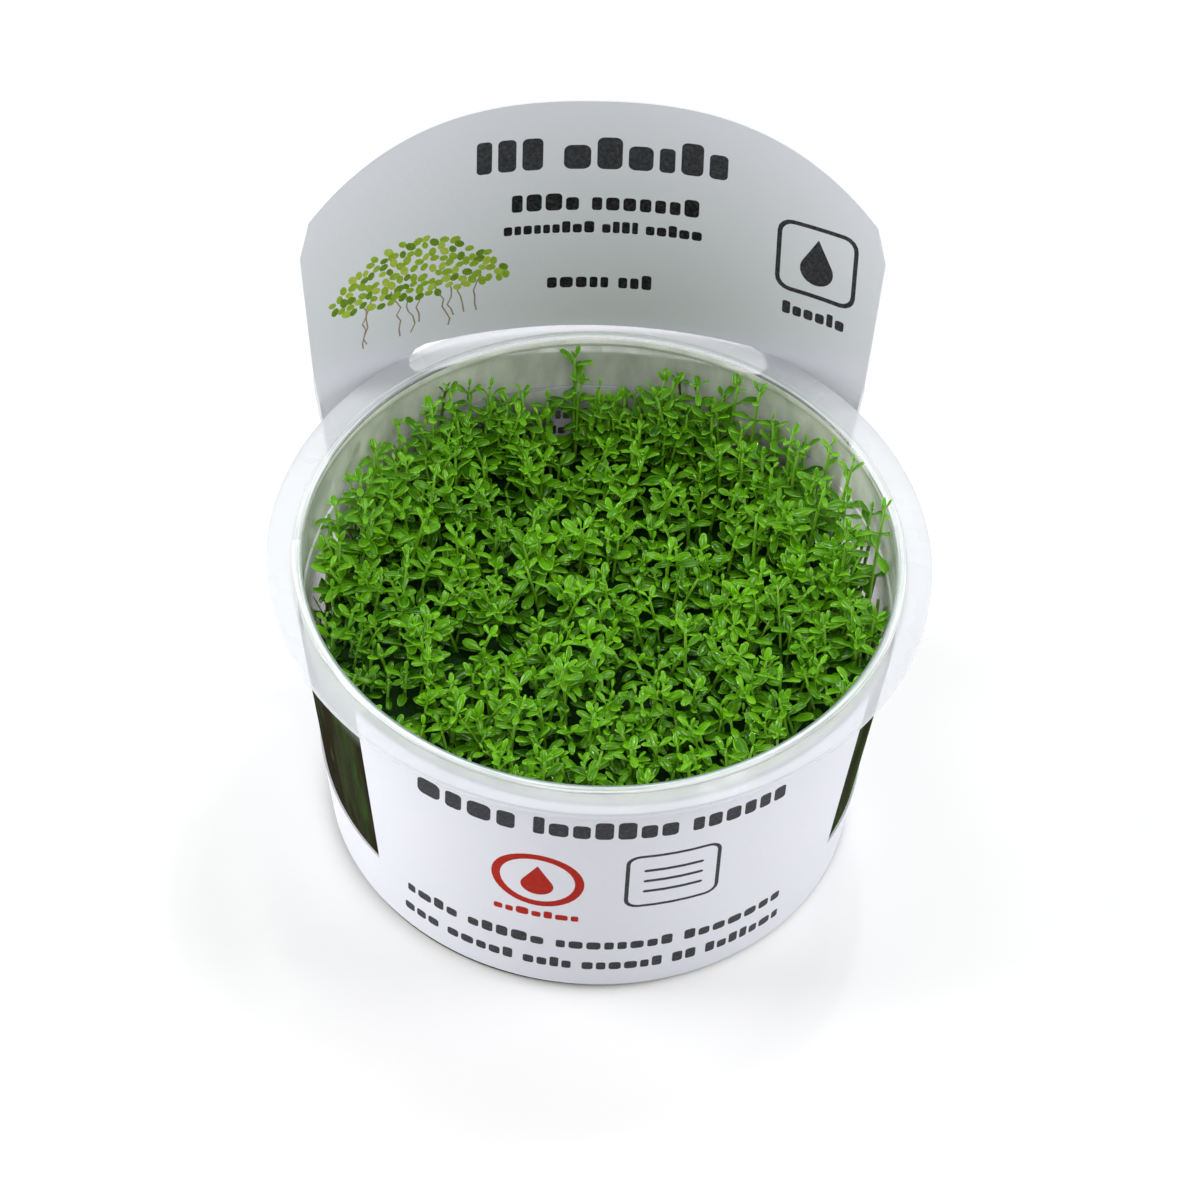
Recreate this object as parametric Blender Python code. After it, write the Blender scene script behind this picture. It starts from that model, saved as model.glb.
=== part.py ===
"""Dwarf baby tears growing in a clear cup that stands in a white card sleeve.

The cup's axis is +Z and the origin is the centre of its base, so everything stands on z = 0.
The front of the cup faces -Y and the card's tall tab rises at +Y. Lengths are in metres.
"""

import math
import random

import bmesh
import bpy
from mathutils import Matrix, Vector
from mathutils.geometry import delaunay_2d_cdt

MM = 0.001
TURN = 2.0 * math.pi
GAP = 0.3 * MM  # air left between pieces that touch

# Cup
CUP_SEGMENTS = 48
BASE_RADIUS = 40.4 * MM
BASE_ROUNDING = 1.0 * MM
NECK_RADIUS = 47.0 * MM  # outside of the wall, right under the flange
WALL_THICKNESS = 0.9 * MM
FLOOR_THICKNESS = 1.2 * MM
FLANGE_RADIUS = 50.5 * MM
FLANGE_TOP = 54.8 * MM
FLANGE_THICKNESS = 0.8 * MM
FLANGE_EDGE_DEPTH = 1.2 * MM  # the turned-down edge, from the flange's top
FLANGE_EDGE_WIDTH = 0.7 * MM
MOUTH_RADIUS = 45.1 * MM
BEAD_RADIUS = 46.7 * MM
BEAD_RISE = 0.45 * MM
LIP_DEPTH = 1.5 * MM  # how far the bead's inner face runs down below the flange's top

# Card sleeve
CARD_THICKNESS = 0.45 * MM
SLEEVE_TURN = math.radians(4.3)  # the sleeve sits turned a little on the cup
SLEEVE_LEAN = -0.0225  # and leans: its left side is higher than its right
SLEEVE_FOOT = 1.25 * MM
WINDOW_SILL = 14.4 * MM  # height of the point where a side window starts
WINDOW_POWER = 3.4  # 2 is a quarter ellipse; higher keeps the window's lower edge level for longer
FLARE_FOOT = 22.0 * MM  # height above which the rear of the card bends away from the cup
FRONT_EDGE_LEFT = math.radians(-127.4)  # angles from the middle of the tab
FRONT_EDGE_RIGHT = math.radians(122.8)
FRONT_TOP = 52.0 * MM
TAB_BEND_RADIUS = 76.7 * MM  # the tab is flatter than the cup, at the flange's height
TAB_FLATTENING = 0.5  # growth of that radius with height above the flange
TAB_HALF_WIDTH = 45.6 * MM
TAB_TAPER = 0.068  # change of the half width with height above the flange
TAB_SHOULDER = 28.6 * MM  # heights above the flange's top
TAB_APEX = 44.6 * MM
TAB_ARCH_POWER = 2.9
TAB_CORNER = 4.0 * MM
SLOT_HALF_LENGTH = 30.4 * MM
SLOT_BELOW = 2.0 * MM  # from the flange's top
SLOT_ABOVE = 1.0 * MM
CARD_STEP = math.radians(7.5)
CARD_ROW = 9.0 * MM

# Gel and plants
GEL_TOP = 10.5 * MM
GEL_SEGMENTS = 36
WALL_CLEARANCE = 0.5 * MM
CUSHION_SKIRT = 33.0 * MM  # height where a clump's sides turn into its top
CUSHION_TOP = 41.0 * MM
CLUMP_RINGS = ((0.0, 1), (19.0 * MM, 6), (36.0 * MM, 12))  # radius and number of clumps
CLUMP_JITTER = 1.6 * MM
CLUMP_GAP = 0.3 * MM
INNER_SPRIGS = 4  # tall sprigs on a clump inside the outer ring, and on one in it
OUTER_SPRIGS = 3
SPRIG_TIP_LOW = 45.5 * MM
SPRIG_TIP_HIGH = 51.0 * MM
STEM_RADIUS = 0.5 * MM
LEAF_LENGTH = 4.4 * MM
LEAF_WIDTH = 2.6 * MM
LEAF_THICKNESS = 0.9 * MM
LEAF_RISE = math.radians(28.0)
REAR_SPRIG_FOOT = Vector((-5.3, 39.0, 33.0)) * MM
REAR_SPRIG_TIP = Vector((-5.3, 40.6, 54.0)) * MM
RIM_SPRIG_FOOT = Vector((36.0, 12.4, 33.0)) * MM  # leans out over the rim on the right
RIM_SPRIG_TIP = Vector((42.4, 14.0, 58.0)) * MM
SEED = 7


def clear_scene():
    """Remove what the scene already holds."""
    for item in list(bpy.data.objects):
        bpy.data.objects.remove(item, do_unlink=True)


def finish(name, colour, roughness, alpha=1.0, transmission=0.0):
    """Make a Principled material in one plain colour."""
    material = bpy.data.materials.new(name)
    material.use_nodes = True
    shader = material.node_tree.nodes["Principled BSDF"]
    shader.inputs["Base Color"].default_value = (*colour, 1.0)
    shader.inputs["Roughness"].default_value = roughness
    shader.inputs["Metallic"].default_value = 0.0
    shader.inputs["Alpha"].default_value = alpha
    shader.inputs["Transmission Weight"].default_value = transmission
    return material


def add_object(name, bm, material):
    """Turn a bmesh into a named object in the scene."""
    bmesh.ops.recalc_face_normals(bm, faces=bm.faces)
    mesh = bpy.data.meshes.new(name)
    bm.to_mesh(mesh)
    bm.free()
    mesh.materials.append(material)
    item = bpy.data.objects.new(name, mesh)
    bpy.context.scene.collection.objects.link(item)
    return item


def turned(profile, segments):
    """Spin a profile of (radius, height) points, which starts and ends on the axis."""
    bm = bmesh.new()
    points = [bm.verts.new((radius, 0.0, height)) for radius, height in profile]
    edges = [bm.edges.new(pair) for pair in zip(points, points[1:])]
    bmesh.ops.spin(
        bm,
        geom=points + edges,
        cent=(0.0, 0.0, 0.0),
        axis=(0.0, 0.0, 1.0),
        angle=TURN,
        steps=segments,
        use_merge=True,
    )
    bmesh.ops.remove_doubles(bm, verts=bm.verts, dist=1e-6)
    return bm


def wall_radius(height):
    """Radius of the cup's outer wall at a height, carried on in a straight line above the neck."""
    slope = (NECK_RADIUS - BASE_RADIUS) / (FLANGE_TOP - FLANGE_THICKNESS)
    return BASE_RADIUS + slope * height


def inner_radius(height):
    """Radius of the cup's inner wall at a height."""
    return wall_radius(height) - WALL_THICKNESS


def make_cup(material):
    """Turn the cup: base, wall, flange with its turned-down edge, and the bead round the mouth."""
    under = FLANGE_TOP - FLANGE_THICKNESS
    edge_bottom = FLANGE_TOP - FLANGE_EDGE_DEPTH
    edge_inside = FLANGE_RADIUS - FLANGE_EDGE_WIDTH
    lip_bottom = FLANGE_TOP - LIP_DEPTH
    bead_middle = (MOUTH_RADIUS + BEAD_RADIUS) / 2.0
    bead_half = (BEAD_RADIUS - MOUTH_RADIUS) / 2.0
    step_bottom = lip_bottom - (inner_radius(lip_bottom) - MOUTH_RADIUS) * 0.5
    profile = [
        (0.0, 0.0),
        (BASE_RADIUS - BASE_ROUNDING, 0.0),
        (wall_radius(BASE_ROUNDING) - 0.3 * BASE_ROUNDING, 0.3 * BASE_ROUNDING),
        (wall_radius(BASE_ROUNDING), BASE_ROUNDING),
        (wall_radius(under), under),
        (edge_inside, under),
        (edge_inside, edge_bottom),
        (FLANGE_RADIUS, edge_bottom),
        (FLANGE_RADIUS, FLANGE_TOP - 0.2 * MM),
        (FLANGE_RADIUS - 0.2 * MM, FLANGE_TOP),
        (BEAD_RADIUS, FLANGE_TOP),
        (bead_middle + 0.55 * bead_half, FLANGE_TOP + BEAD_RISE),
        (bead_middle - 0.55 * bead_half, FLANGE_TOP + BEAD_RISE),
        (MOUTH_RADIUS, FLANGE_TOP),
        (MOUTH_RADIUS, lip_bottom),
        (inner_radius(step_bottom), step_bottom),
        (inner_radius(FLOOR_THICKNESS + BASE_ROUNDING), FLOOR_THICKNESS + BASE_ROUNDING),
        (inner_radius(FLOOR_THICKNESS) - BASE_ROUNDING, FLOOR_THICKNESS),
        (0.0, FLOOR_THICKNESS),
    ]
    return add_object("cup", turned(profile, CUP_SEGMENTS), material)


def card_radius(height):
    """Radius of the card's middle surface where it hugs the cup."""
    return wall_radius(height) + GAP + CARD_THICKNESS / 2.0


def bend_radius(height):
    """Radius to which the card is bent at the rear, from the cup's own below to nearly flat above."""
    if height >= FLANGE_TOP:
        return TAB_BEND_RADIUS + TAB_FLATTENING * (height - FLANGE_TOP)
    share = max(0.0, (height - FLARE_FOOT) / (FLANGE_TOP - FLARE_FOOT))
    ease = share * share * (3.0 - 2.0 * share)
    curvature = (1.0 - ease) / card_radius(height) + ease / TAB_BEND_RADIUS
    return 1.0 / curvature


def card_point(angle, height):
    """Place a point of the flat card, given by its angle from the tab's middle and its height."""
    hugging = card_radius(height)
    bend = hugging if is_front(angle) else bend_radius(height)
    height += SLEEVE_LEAN * bend * math.sin(angle * hugging / bend)
    hugging = card_radius(height)
    bend = hugging if is_front(angle) else bend_radius(height)
    turn = angle * hugging / bend
    across = bend * math.sin(turn)
    back = hugging - bend + bend * math.cos(turn)
    return Matrix.Rotation(SLEEVE_TURN, 3, "Z") @ Vector((across, back, height))


def is_front(angle):
    """Tell the front panel, which hugs the cup, from the rear of the card, which stands free."""
    return angle <= FRONT_EDGE_LEFT + 1e-6 or angle >= FRONT_EDGE_RIGHT - 1e-6


def tab_outline():
    """List the right half of the tab from the flange's height up to the apex, as (angle, height)."""
    shoulder_half = TAB_HALF_WIDTH + TAB_TAPER * TAB_SHOULDER
    points = []
    for step in range(4):
        rise = (TAB_SHOULDER - TAB_CORNER) * step / 3.0
        points.append((TAB_HALF_WIDTH + TAB_TAPER * rise, rise))
    for step in range(10):
        across = (shoulder_half - TAB_CORNER / 2.0) * math.cos(step / 10.0 * math.pi / 2.0)
        share = 1.0 - (across / shoulder_half) ** TAB_ARCH_POWER
        points.append((across, TAB_SHOULDER + (TAB_APEX - TAB_SHOULDER) * share))
    points.append((0.0, TAB_APEX))
    return [(arc / card_radius(FLANGE_TOP + rise), FLANGE_TOP + rise) for arc, rise in points]


def window_curve(front_edge):
    """List a side window's lower edge, from the tip at the front panel up to the tab's side."""
    side = math.copysign(tab_outline()[0][0], front_edge)
    points = []
    for step in range(12):
        across = 1.0 - (1.0 - step / 12.0) ** 1.5
        down = (1.0 - across**WINDOW_POWER) ** (1.0 / WINDOW_POWER)
        angle = front_edge + (side - front_edge) * across
        points.append((angle, FLANGE_TOP - (FLANGE_TOP - WINDOW_SILL) * down))
    return points


def card_outline():
    """List the flat card's outline counter-clockwise, cut open at the middle of the front panel."""
    foot_steps = round(TURN / CARD_STEP)
    foot = [(-math.pi + CARD_STEP * step, SLEEVE_FOOT) for step in range(foot_steps + 1)]
    rise_steps = round((FRONT_TOP - SLEEVE_FOOT) / CARD_ROW)
    rise = [SLEEVE_FOOT + (FRONT_TOP - SLEEVE_FOOT) * s / rise_steps for s in range(1, rise_steps)]
    top_steps = 8
    right_top = [
        (math.pi + (FRONT_EDGE_RIGHT - math.pi) * step / top_steps, FRONT_TOP)
        for step in range(top_steps + 1)
    ]
    left_top = [
        (FRONT_EDGE_LEFT + (-math.pi - FRONT_EDGE_LEFT) * step / top_steps, FRONT_TOP)
        for step in range(top_steps + 1)
    ]
    tab = tab_outline()
    return (
        foot
        + [(math.pi, height) for height in rise]
        + right_top
        + [(FRONT_EDGE_RIGHT, height) for height in reversed(rise) if height > WINDOW_SILL + 3.0 * MM]
        + window_curve(FRONT_EDGE_RIGHT)
        + tab
        + [(-angle, height) for angle, height in reversed(tab[:-1])]
        + list(reversed(window_curve(FRONT_EDGE_LEFT)))
        + [(FRONT_EDGE_LEFT, height) for height in rise if height > WINDOW_SILL + 3.0 * MM]
        + left_top
        + [(-math.pi, height) for height in reversed(rise)]
    )


def slot_outline():
    """List the slot's outline: two straight edges and a half circle at each end."""
    half_height = (SLOT_BELOW + SLOT_ABOVE) / 2.0
    middle = FLANGE_TOP + (SLOT_ABOVE - SLOT_BELOW) / 2.0
    straight = SLOT_HALF_LENGTH - half_height
    points = []
    for end in (1.0, -1.0):
        for step in range(5):
            swing = (step / 4.0 - 0.5) * math.pi
            points.append((end * (straight + half_height * math.cos(swing)), end * half_height * math.sin(swing)))
        for step in range(1, 7):
            points.append((end * straight * (1.0 - step / 3.5), end * half_height))
    return [(arc / card_radius(middle), middle + rise) for arc, rise in points]


def inside(point, outline):
    """Tell whether a point lies inside a closed outline."""
    x, y = point
    found = False
    for (x0, y0), (x1, y1) in zip(outline, outline[1:] + outline[:1]):
        if (y0 > y) != (y1 > y) and x < (x1 - x0) * (y - y0) / (y1 - y0) + x0:
            found = not found
    return found


def distance(point, outline):
    """Distance in metres from a point of the flat card to an outline."""
    scale = card_radius(WINDOW_SILL)
    spot = Vector((point[0] * scale, point[1]))
    nearest = []
    for start, end in zip(outline, outline[1:] + outline[:1]):
        a = Vector((start[0] * scale, start[1]))
        b = Vector((end[0] * scale, end[1]))
        along = b - a
        share = max(0.0, min(1.0, (spot - a).dot(along) / max(along.length_squared, 1e-18)))
        nearest.append((spot - a - along * share).length)
    return min(nearest)


def make_sleeve(material):
    """Cut the card to its outline, bend it round the cup and give it its thickness."""
    outline = card_outline()
    slot = slot_outline()
    columns = [-math.pi + CARD_STEP * step for step in range(round(TURN / CARD_STEP) + 1)]
    rows = [SLEEVE_FOOT + CARD_ROW * row for row in range(1, 12)]
    grid = [
        (angle, height)
        for height in rows
        for angle in columns
        if inside((angle, height), outline)
        and not inside((angle, height), slot)
        and distance((angle, height), outline) > 2.5 * MM
        and distance((angle, height), slot) > 1.6 * MM
    ]
    scale = card_radius(WINDOW_SILL)
    flat = [Vector((angle * scale, height)) for angle, height in outline + slot + grid]
    loops = [list(range(len(outline))), [len(outline) + index for index in range(len(slot))]]
    edges = [pair for loop in loops for pair in zip(loop, loop[1:] + loop[:1])]
    points, _, triangles = delaunay_2d_cdt(flat, edges, [], 0, 1e-7)[:3]
    card = [(point.x / scale, point.y) for point in points]
    bm = bmesh.new()
    corners = [bm.verts.new(card_point(angle, height)) for angle, height in card]
    for triangle in triangles:
        middle = [sum(card[index][axis] for index in triangle) / 3.0 for axis in (0, 1)]
        if inside(middle, outline) and not inside(middle, slot):
            bm.faces.new([corners[index] for index in triangle])
    bmesh.ops.remove_doubles(bm, verts=bm.verts, dist=1e-6)
    loose = [corner for corner in bm.verts if not corner.link_faces]
    bmesh.ops.delete(bm, geom=loose, context="VERTS")
    sleeve = add_object("card_sleeve", bm, material)
    thickness = sleeve.modifiers.new("card thickness", "SOLIDIFY")
    thickness.thickness = CARD_THICKNESS
    thickness.offset = 0.0
    thickness.use_even_offset = True
    return sleeve


def make_gel(material):
    """Turn the gel layer that fills the bottom of the cup."""
    foot = FLOOR_THICKNESS + GAP
    profile = [
        (0.0, foot),
        (inner_radius(foot) - BASE_ROUNDING - WALL_CLEARANCE, foot),
        (inner_radius(foot + BASE_ROUNDING) - WALL_CLEARANCE, foot + BASE_ROUNDING),
        (inner_radius(GEL_TOP) - WALL_CLEARANCE, GEL_TOP),
        (0.0, GEL_TOP),
    ]
    return add_object("growth_gel", turned(profile, GEL_SEGMENTS), material)


def clump_centres(rng):
    """Place the clumps in rings, each moved a little at random."""
    centres = []
    for ring_radius, count in CLUMP_RINGS:
        for index in range(count):
            swing = TURN * (index + 0.5 * (count == 12)) / count
            shift = Vector((rng.uniform(-1.0, 1.0), rng.uniform(-1.0, 1.0))) * CLUMP_JITTER
            centres.append(Vector((math.cos(swing), math.sin(swing))) * ring_radius + shift)
    return centres


def clump_cell(centre, centres):
    """Cut the round opening down to the stretch that lies nearest to one clump's centre."""
    limit = inner_radius(CUSHION_TOP) - WALL_CLEARANCE
    cell = [
        Vector((math.cos(TURN * step / 36.0), math.sin(TURN * step / 36.0))) * limit
        for step in range(36)
    ]
    for other in centres:
        if other is centre:
            continue
        away = (other - centre).normalized()
        reach = (other + centre).dot(away) / 2.0 - CLUMP_GAP
        kept = []
        for start, end in zip(cell, cell[1:] + cell[:1]):
            before = start.dot(away) - reach
            after = end.dot(away) - reach
            if before <= 0.0:
                kept.append(start)
            if (before < 0.0) != (after < 0.0):
                kept.append(start.lerp(end, before / (before - after)))
        cell = kept
    return [corner for corner, after in zip(cell, cell[1:] + cell[:1]) if (corner - after).length > 1.2 * MM]


def taper(height):
    """Scale that keeps a clump's side along the cup's tapered wall."""
    return (inner_radius(height) - WALL_CLEARANCE) / (inner_radius(CUSHION_TOP) - WALL_CLEARANCE)


def cushion(cell, rng):
    """Build a clump's lumpy body, from the gel up, as one closed bmesh."""
    bm = bmesh.new()
    middle = sum(cell, Vector((0.0, 0.0))) / len(cell)
    rings = []
    for height, inset, bump in (
        (GEL_TOP + GAP, 1.0, 0.0),
        (CUSHION_SKIRT, 1.0, 0.6 * MM),
        (CUSHION_TOP - 1.5 * MM, 0.78, 1.3 * MM),
    ):
        ring = []
        for corner in cell:
            level = height + rng.uniform(-bump, bump)
            spot = middle.lerp(corner, inset) * taper(height)
            ring.append(bm.verts.new((spot.x, spot.y, level)))
        rings.append(ring)
    peak = middle * taper(CUSHION_TOP)
    top = bm.verts.new((peak.x, peak.y, CUSHION_TOP + rng.uniform(0.0, 1.5 * MM)))
    bm.faces.new(list(reversed(rings[0])))
    for lower, upper in zip(rings, rings[1:]):
        for index in range(len(cell)):
            after = (index + 1) % len(cell)
            bm.faces.new((lower[index], lower[after], upper[after]))
            bm.faces.new((lower[index], upper[after], upper[index]))
    for index in range(len(cell)):
        bm.faces.new((rings[-1][index], rings[-1][(index + 1) % len(cell)], top))
    return bm


def add_stem(bm, foot, tip):
    """Add one slim four-sided stem that narrows towards its tip."""
    along = tip - foot
    turn = along.to_track_quat("Z", "Y").to_matrix().to_4x4()
    place = Matrix.Translation((foot + tip) / 2.0) @ turn
    bmesh.ops.create_cone(
        bm,
        cap_ends=True,
        segments=4,
        radius1=STEM_RADIUS,
        radius2=STEM_RADIUS * 0.7,
        depth=along.length,
        matrix=place,
    )


def add_leaf(bm, root, heading, rise, size):
    """Add one diamond-shaped leaf, folded along its middle, that grows out of the stem at its root."""
    place = (
        Matrix.Translation(root)
        @ Matrix.Rotation(heading, 4, "Z")
        @ Matrix.Rotation(-rise, 4, "Y")
        @ Matrix.Diagonal((LEAF_LENGTH * size, LEAF_WIDTH * size, LEAF_THICKNESS, 1.0))
    )
    outline = ((-0.06, 0.0, 0.0), (0.58, -0.5, 1.0), (0.94, 0.0, 0.0), (0.58, 0.5, 1.0))
    corners = [bm.verts.new(place @ Vector(corner)) for corner in outline]
    bmesh.ops.convex_hull(bm, input=corners)


def add_sprig(bm, foot, tip, heading, rng):
    """Add a stem with two crossed pairs of leaves, the upper pair at its tip."""
    add_stem(bm, foot, tip)
    down = (foot - tip).normalized()
    for level, size in ((0.7 * MM, 0.8), (3.3 * MM, 1.05)):
        root = tip + down * level
        for side in (0.0, math.pi):
            wobble = rng.uniform(-0.2, 0.2)
            add_leaf(bm, root, heading + side + wobble, LEAF_RISE + rng.uniform(-0.25, 0.25), size)
        heading += math.pi / 2.0


def sprig_spots(cell, rng):
    """Choose where a clump's tall sprigs stand, apart from each other and from its edge."""
    middle = sum(cell, Vector((0.0, 0.0))) / len(cell)
    count = OUTER_SPRIGS if middle.length > CLUMP_RINGS[1][0] * 1.4 else INNER_SPRIGS
    spots = []
    for index in range(count):
        corner = cell[(index * len(cell)) // count]
        after = cell[((index * len(cell)) // count + 1) % len(cell)]
        edge = corner.lerp(after, rng.uniform(0.3, 0.7))
        spots.append(middle.lerp(edge, rng.uniform(0.38, 0.5)))
    return spots


def clump_sprigs(cell, special, rng):
    """Join a clump's sprigs in one bmesh. A special sprig has its own foot, tip and heading."""
    bm = bmesh.new()
    for spot in sprig_spots(cell, rng):
        lean = Vector((rng.uniform(-1.0, 1.0), rng.uniform(-1.0, 1.0), 0.0)) * 0.8 * MM
        foot = Vector((spot.x, spot.y, CUSHION_SKIRT))
        tip = Vector((spot.x, spot.y, rng.uniform(SPRIG_TIP_LOW, SPRIG_TIP_HIGH))) + lean
        add_sprig(bm, foot, tip, rng.uniform(0.0, math.pi), rng)
    for foot, tip, heading in special:
        add_sprig(bm, foot, tip, heading, rng)
    return bm


def make_clump(name, centre, centres, special, material, rng):
    """Make one clump: its lumpy body with the sprigs fused to it."""
    cell = clump_cell(centre, centres)
    body = add_object(name, cushion(cell, rng), material)
    sprigs = add_object(name + "_sprigs", clump_sprigs(cell, special, rng), material)
    sprigs.hide_render = True
    sprigs.display_type = "WIRE"
    fuse = body.modifiers.new("sprigs", "BOOLEAN")
    fuse.operation = "UNION"
    fuse.solver = "EXACT"
    fuse.use_self = True
    fuse.object = sprigs
    return body


def make_clumps(material):
    """Make every clump, and give the two tallest sprigs of the photo to the nearest ones."""
    rng = random.Random(SEED)
    centres = clump_centres(rng)
    specials = [
        (REAR_SPRIG_FOOT, REAR_SPRIG_TIP, math.pi / 2.0),
        (RIM_SPRIG_FOOT, RIM_SPRIG_TIP, 0.3),
    ]
    owners = [min(centres, key=lambda spot: (spot - foot.xy).length) for foot, _, _ in specials]
    for index, centre in enumerate(centres, start=1):
        special = [sprig for sprig, owner in zip(specials, owners) if owner is centre]
        make_clump(f"plant_clump_{index:02d}", centre, centres, special, material, rng)


def main():
    """Build the cup, its sleeve, the gel and the plants."""
    clear_scene()
    clear = finish("clear plastic", (0.86, 0.9, 0.9), 0.08, alpha=0.35, transmission=0.8)
    card = finish("white card", (0.86, 0.87, 0.88), 0.6)
    gel = finish("nutrient gel", (0.32, 0.33, 0.16), 0.25)
    leaf = finish("leaf green", (0.14, 0.36, 0.03), 0.4)
    make_cup(clear)
    make_sleeve(card)
    make_gel(gel)
    make_clumps(leaf)


main()
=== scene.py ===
"""Looks of a cup of dwarf baby tears: a cushion of tiny plants in a clear cup held by a card sleeve.

Lengths are in metres and written as millimetres times MM. Z is up, the cup's axis is the Z axis,
the front of the cup faces -Y and the tab of the card rises at +Y.
"""

import logging
import math
import random
from dataclasses import dataclass
from enum import Enum

import bmesh
import bpy
import numpy as np
from mathutils import Matrix, Quaternion, Vector, noise
from mathutils.geometry import delaunay_2d_cdt

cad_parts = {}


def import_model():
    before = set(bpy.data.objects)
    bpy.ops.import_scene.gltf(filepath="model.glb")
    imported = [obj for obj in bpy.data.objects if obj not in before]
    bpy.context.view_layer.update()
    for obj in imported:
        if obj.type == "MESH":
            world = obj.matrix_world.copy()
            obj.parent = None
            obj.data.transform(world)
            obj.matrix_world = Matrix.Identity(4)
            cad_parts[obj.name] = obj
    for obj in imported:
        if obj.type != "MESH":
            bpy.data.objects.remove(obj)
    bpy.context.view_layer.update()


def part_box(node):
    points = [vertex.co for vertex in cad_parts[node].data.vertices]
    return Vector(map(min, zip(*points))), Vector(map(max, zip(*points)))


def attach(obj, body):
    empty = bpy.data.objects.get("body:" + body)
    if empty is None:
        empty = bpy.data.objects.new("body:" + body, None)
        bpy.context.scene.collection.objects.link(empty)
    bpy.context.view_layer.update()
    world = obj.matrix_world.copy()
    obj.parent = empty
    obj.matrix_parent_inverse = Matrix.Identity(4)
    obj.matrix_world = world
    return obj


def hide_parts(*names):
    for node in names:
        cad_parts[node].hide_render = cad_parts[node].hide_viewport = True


MM = 0.001
TURN = 2.0 * math.pi
LOG = logging.getLogger("baby_tears")
Colour = tuple[float, float, float]
Point2 = tuple[float, float]


class Slot(Enum):
    """Material slots of the record."""

    PLASTIC = "clear_plastic"
    CARD = "white_card"
    GEL = "nutrient_gel"
    LEAF = "leaf_green"


# Shader building


@dataclass
class Recipe:
    """A material under construction: its node tree with one Principled shader."""

    name: str

    def __post_init__(self) -> None:
        """Start an empty material with a Principled shader joined to its output."""
        self.material = bpy.data.materials.new(self.name)
        self.material.use_nodes = True
        self.tree = self.material.node_tree
        self.shader = next(node for node in self.tree.nodes if node.type == "BSDF_PRINCIPLED")

    def add(self, kind: str, **settings: object) -> bpy.types.Node:
        """Add a node.

        Args:
            kind: the node's class name without its ShaderNode prefix.
            settings: node properties, or inputs given by their name with _ for a space.

        Returns:
            The new node.
        """
        node = self.tree.nodes.new("ShaderNode" + kind)
        for key, value in settings.items():
            if hasattr(node, key):
                setattr(node, key, value)
            else:
                self.feed(node, key.replace("_", " "), value)
        return node

    def feed(self, node: bpy.types.Node, socket: str | int, value: object) -> None:
        """Link an output to a node's input, or set the input when the value is plain.

        Args:
            node: the node that takes the value.
            socket: name or index of its input.
            value: an output socket, a number, or a colour.
        """
        if isinstance(value, bpy.types.NodeSocket):
            self.tree.links.new(value, node.inputs[socket])
        elif isinstance(value, tuple) and len(value) == 3 and node.inputs[socket].type == "RGBA":
            node.inputs[socket].default_value = (*value, 1.0)
        else:
            node.inputs[socket].default_value = value

    def set(self, **values: object) -> None:
        """Set or link inputs of the Principled shader, named with _ for a space."""
        for key, value in values.items():
            self.feed(self.shader, key.replace("_", " "), value)

    def place(self, scale: tuple[float, float, float] = (1.0, 1.0, 1.0)) -> bpy.types.NodeSocket:
        """Return the Object coordinates in metres, stretched by a scale along each axis."""
        coordinates = self.add("TexCoord").outputs["Object"]
        mapping = self.add("Mapping", vector_type="POINT")
        self.feed(mapping, "Vector", coordinates)
        self.feed(mapping, "Scale", scale)
        return mapping.outputs["Vector"]

    def noise(self, where: bpy.types.NodeSocket, size: float, detail: float = 3.0) -> bpy.types.NodeSocket:
        """Return a noise pattern.

        Args:
            where: the coordinates it is laid out on.
            size: length of one lump of the pattern in metres.
            detail: how many finer layers are added.

        Returns:
            The value output, around 0.5.
        """
        node = self.add("TexNoise", Scale=1.0 / size, Detail=detail, Roughness=0.55)
        self.feed(node, "Vector", where)
        return node.outputs["Fac"]

    def maths(self, operation: str, first: object, second: object = 0.0) -> bpy.types.NodeSocket:
        """Return the result of a Math node on one or two numbers or outputs."""
        node = self.add("Math", operation=operation)
        self.feed(node, 0, first)
        self.feed(node, 1, second)
        return node.outputs[0]

    def between(self, value: bpy.types.NodeSocket, low: float, high: float,
                start: float = 0.0, end: float = 1.0) -> bpy.types.NodeSocket:
        """Return a smooth step from start, where the value is low, to end, where it is high."""
        node = self.add("MapRange", interpolation_type="SMOOTHSTEP")
        for socket, number in zip(("Value", "From Min", "From Max", "To Min", "To Max"),
                                  (value, low, high, start, end)):
            self.feed(node, socket, number)
        return node.outputs["Result"]

    def axes(self, vector: bpy.types.NodeSocket | None = None) -> tuple[bpy.types.NodeSocket, ...]:
        """Return the three parts of a vector, or of the place on the piece when none is given."""
        split = self.add("SeparateXYZ")
        self.feed(split, 0, vector or self.place())
        return tuple(split.outputs)

    def vector(self, x: object, y: object, z: object = 0.0) -> bpy.types.NodeSocket:
        """Return a vector made of three parts."""
        node = self.add("CombineXYZ")
        for index, part in enumerate((x, y, z)):
            self.feed(node, index, part)
        return node.outputs[0]

    def turned_away(self, low: float, high: float, start: float = 0.0,
                    end: float = 1.0) -> bpy.types.NodeSocket:
        """Return a smooth step by how far the surface turns away, from 0 face on to 1 edge on."""
        return self.between(self.add("LayerWeight", Blend=0.5).outputs["Facing"], low, high, start, end)

    def blend(self, share: object, first: object, second: object) -> bpy.types.NodeSocket:
        """Return two colours mixed by a share from 0 to 1."""
        node = self.add("Mix", data_type="RGBA", blend_type="MIX")
        self.feed(node, 0, share)
        self.feed(node, 6, first)
        self.feed(node, 7, second)
        return node.outputs[2]

    def rough(self, pattern: bpy.types.NodeSocket, low: float, high: float) -> None:
        """Let the roughness follow a noise pattern from a low to a high value."""
        self.set(Roughness=self.between(pattern, 0.3, 0.7, low, high))

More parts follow.
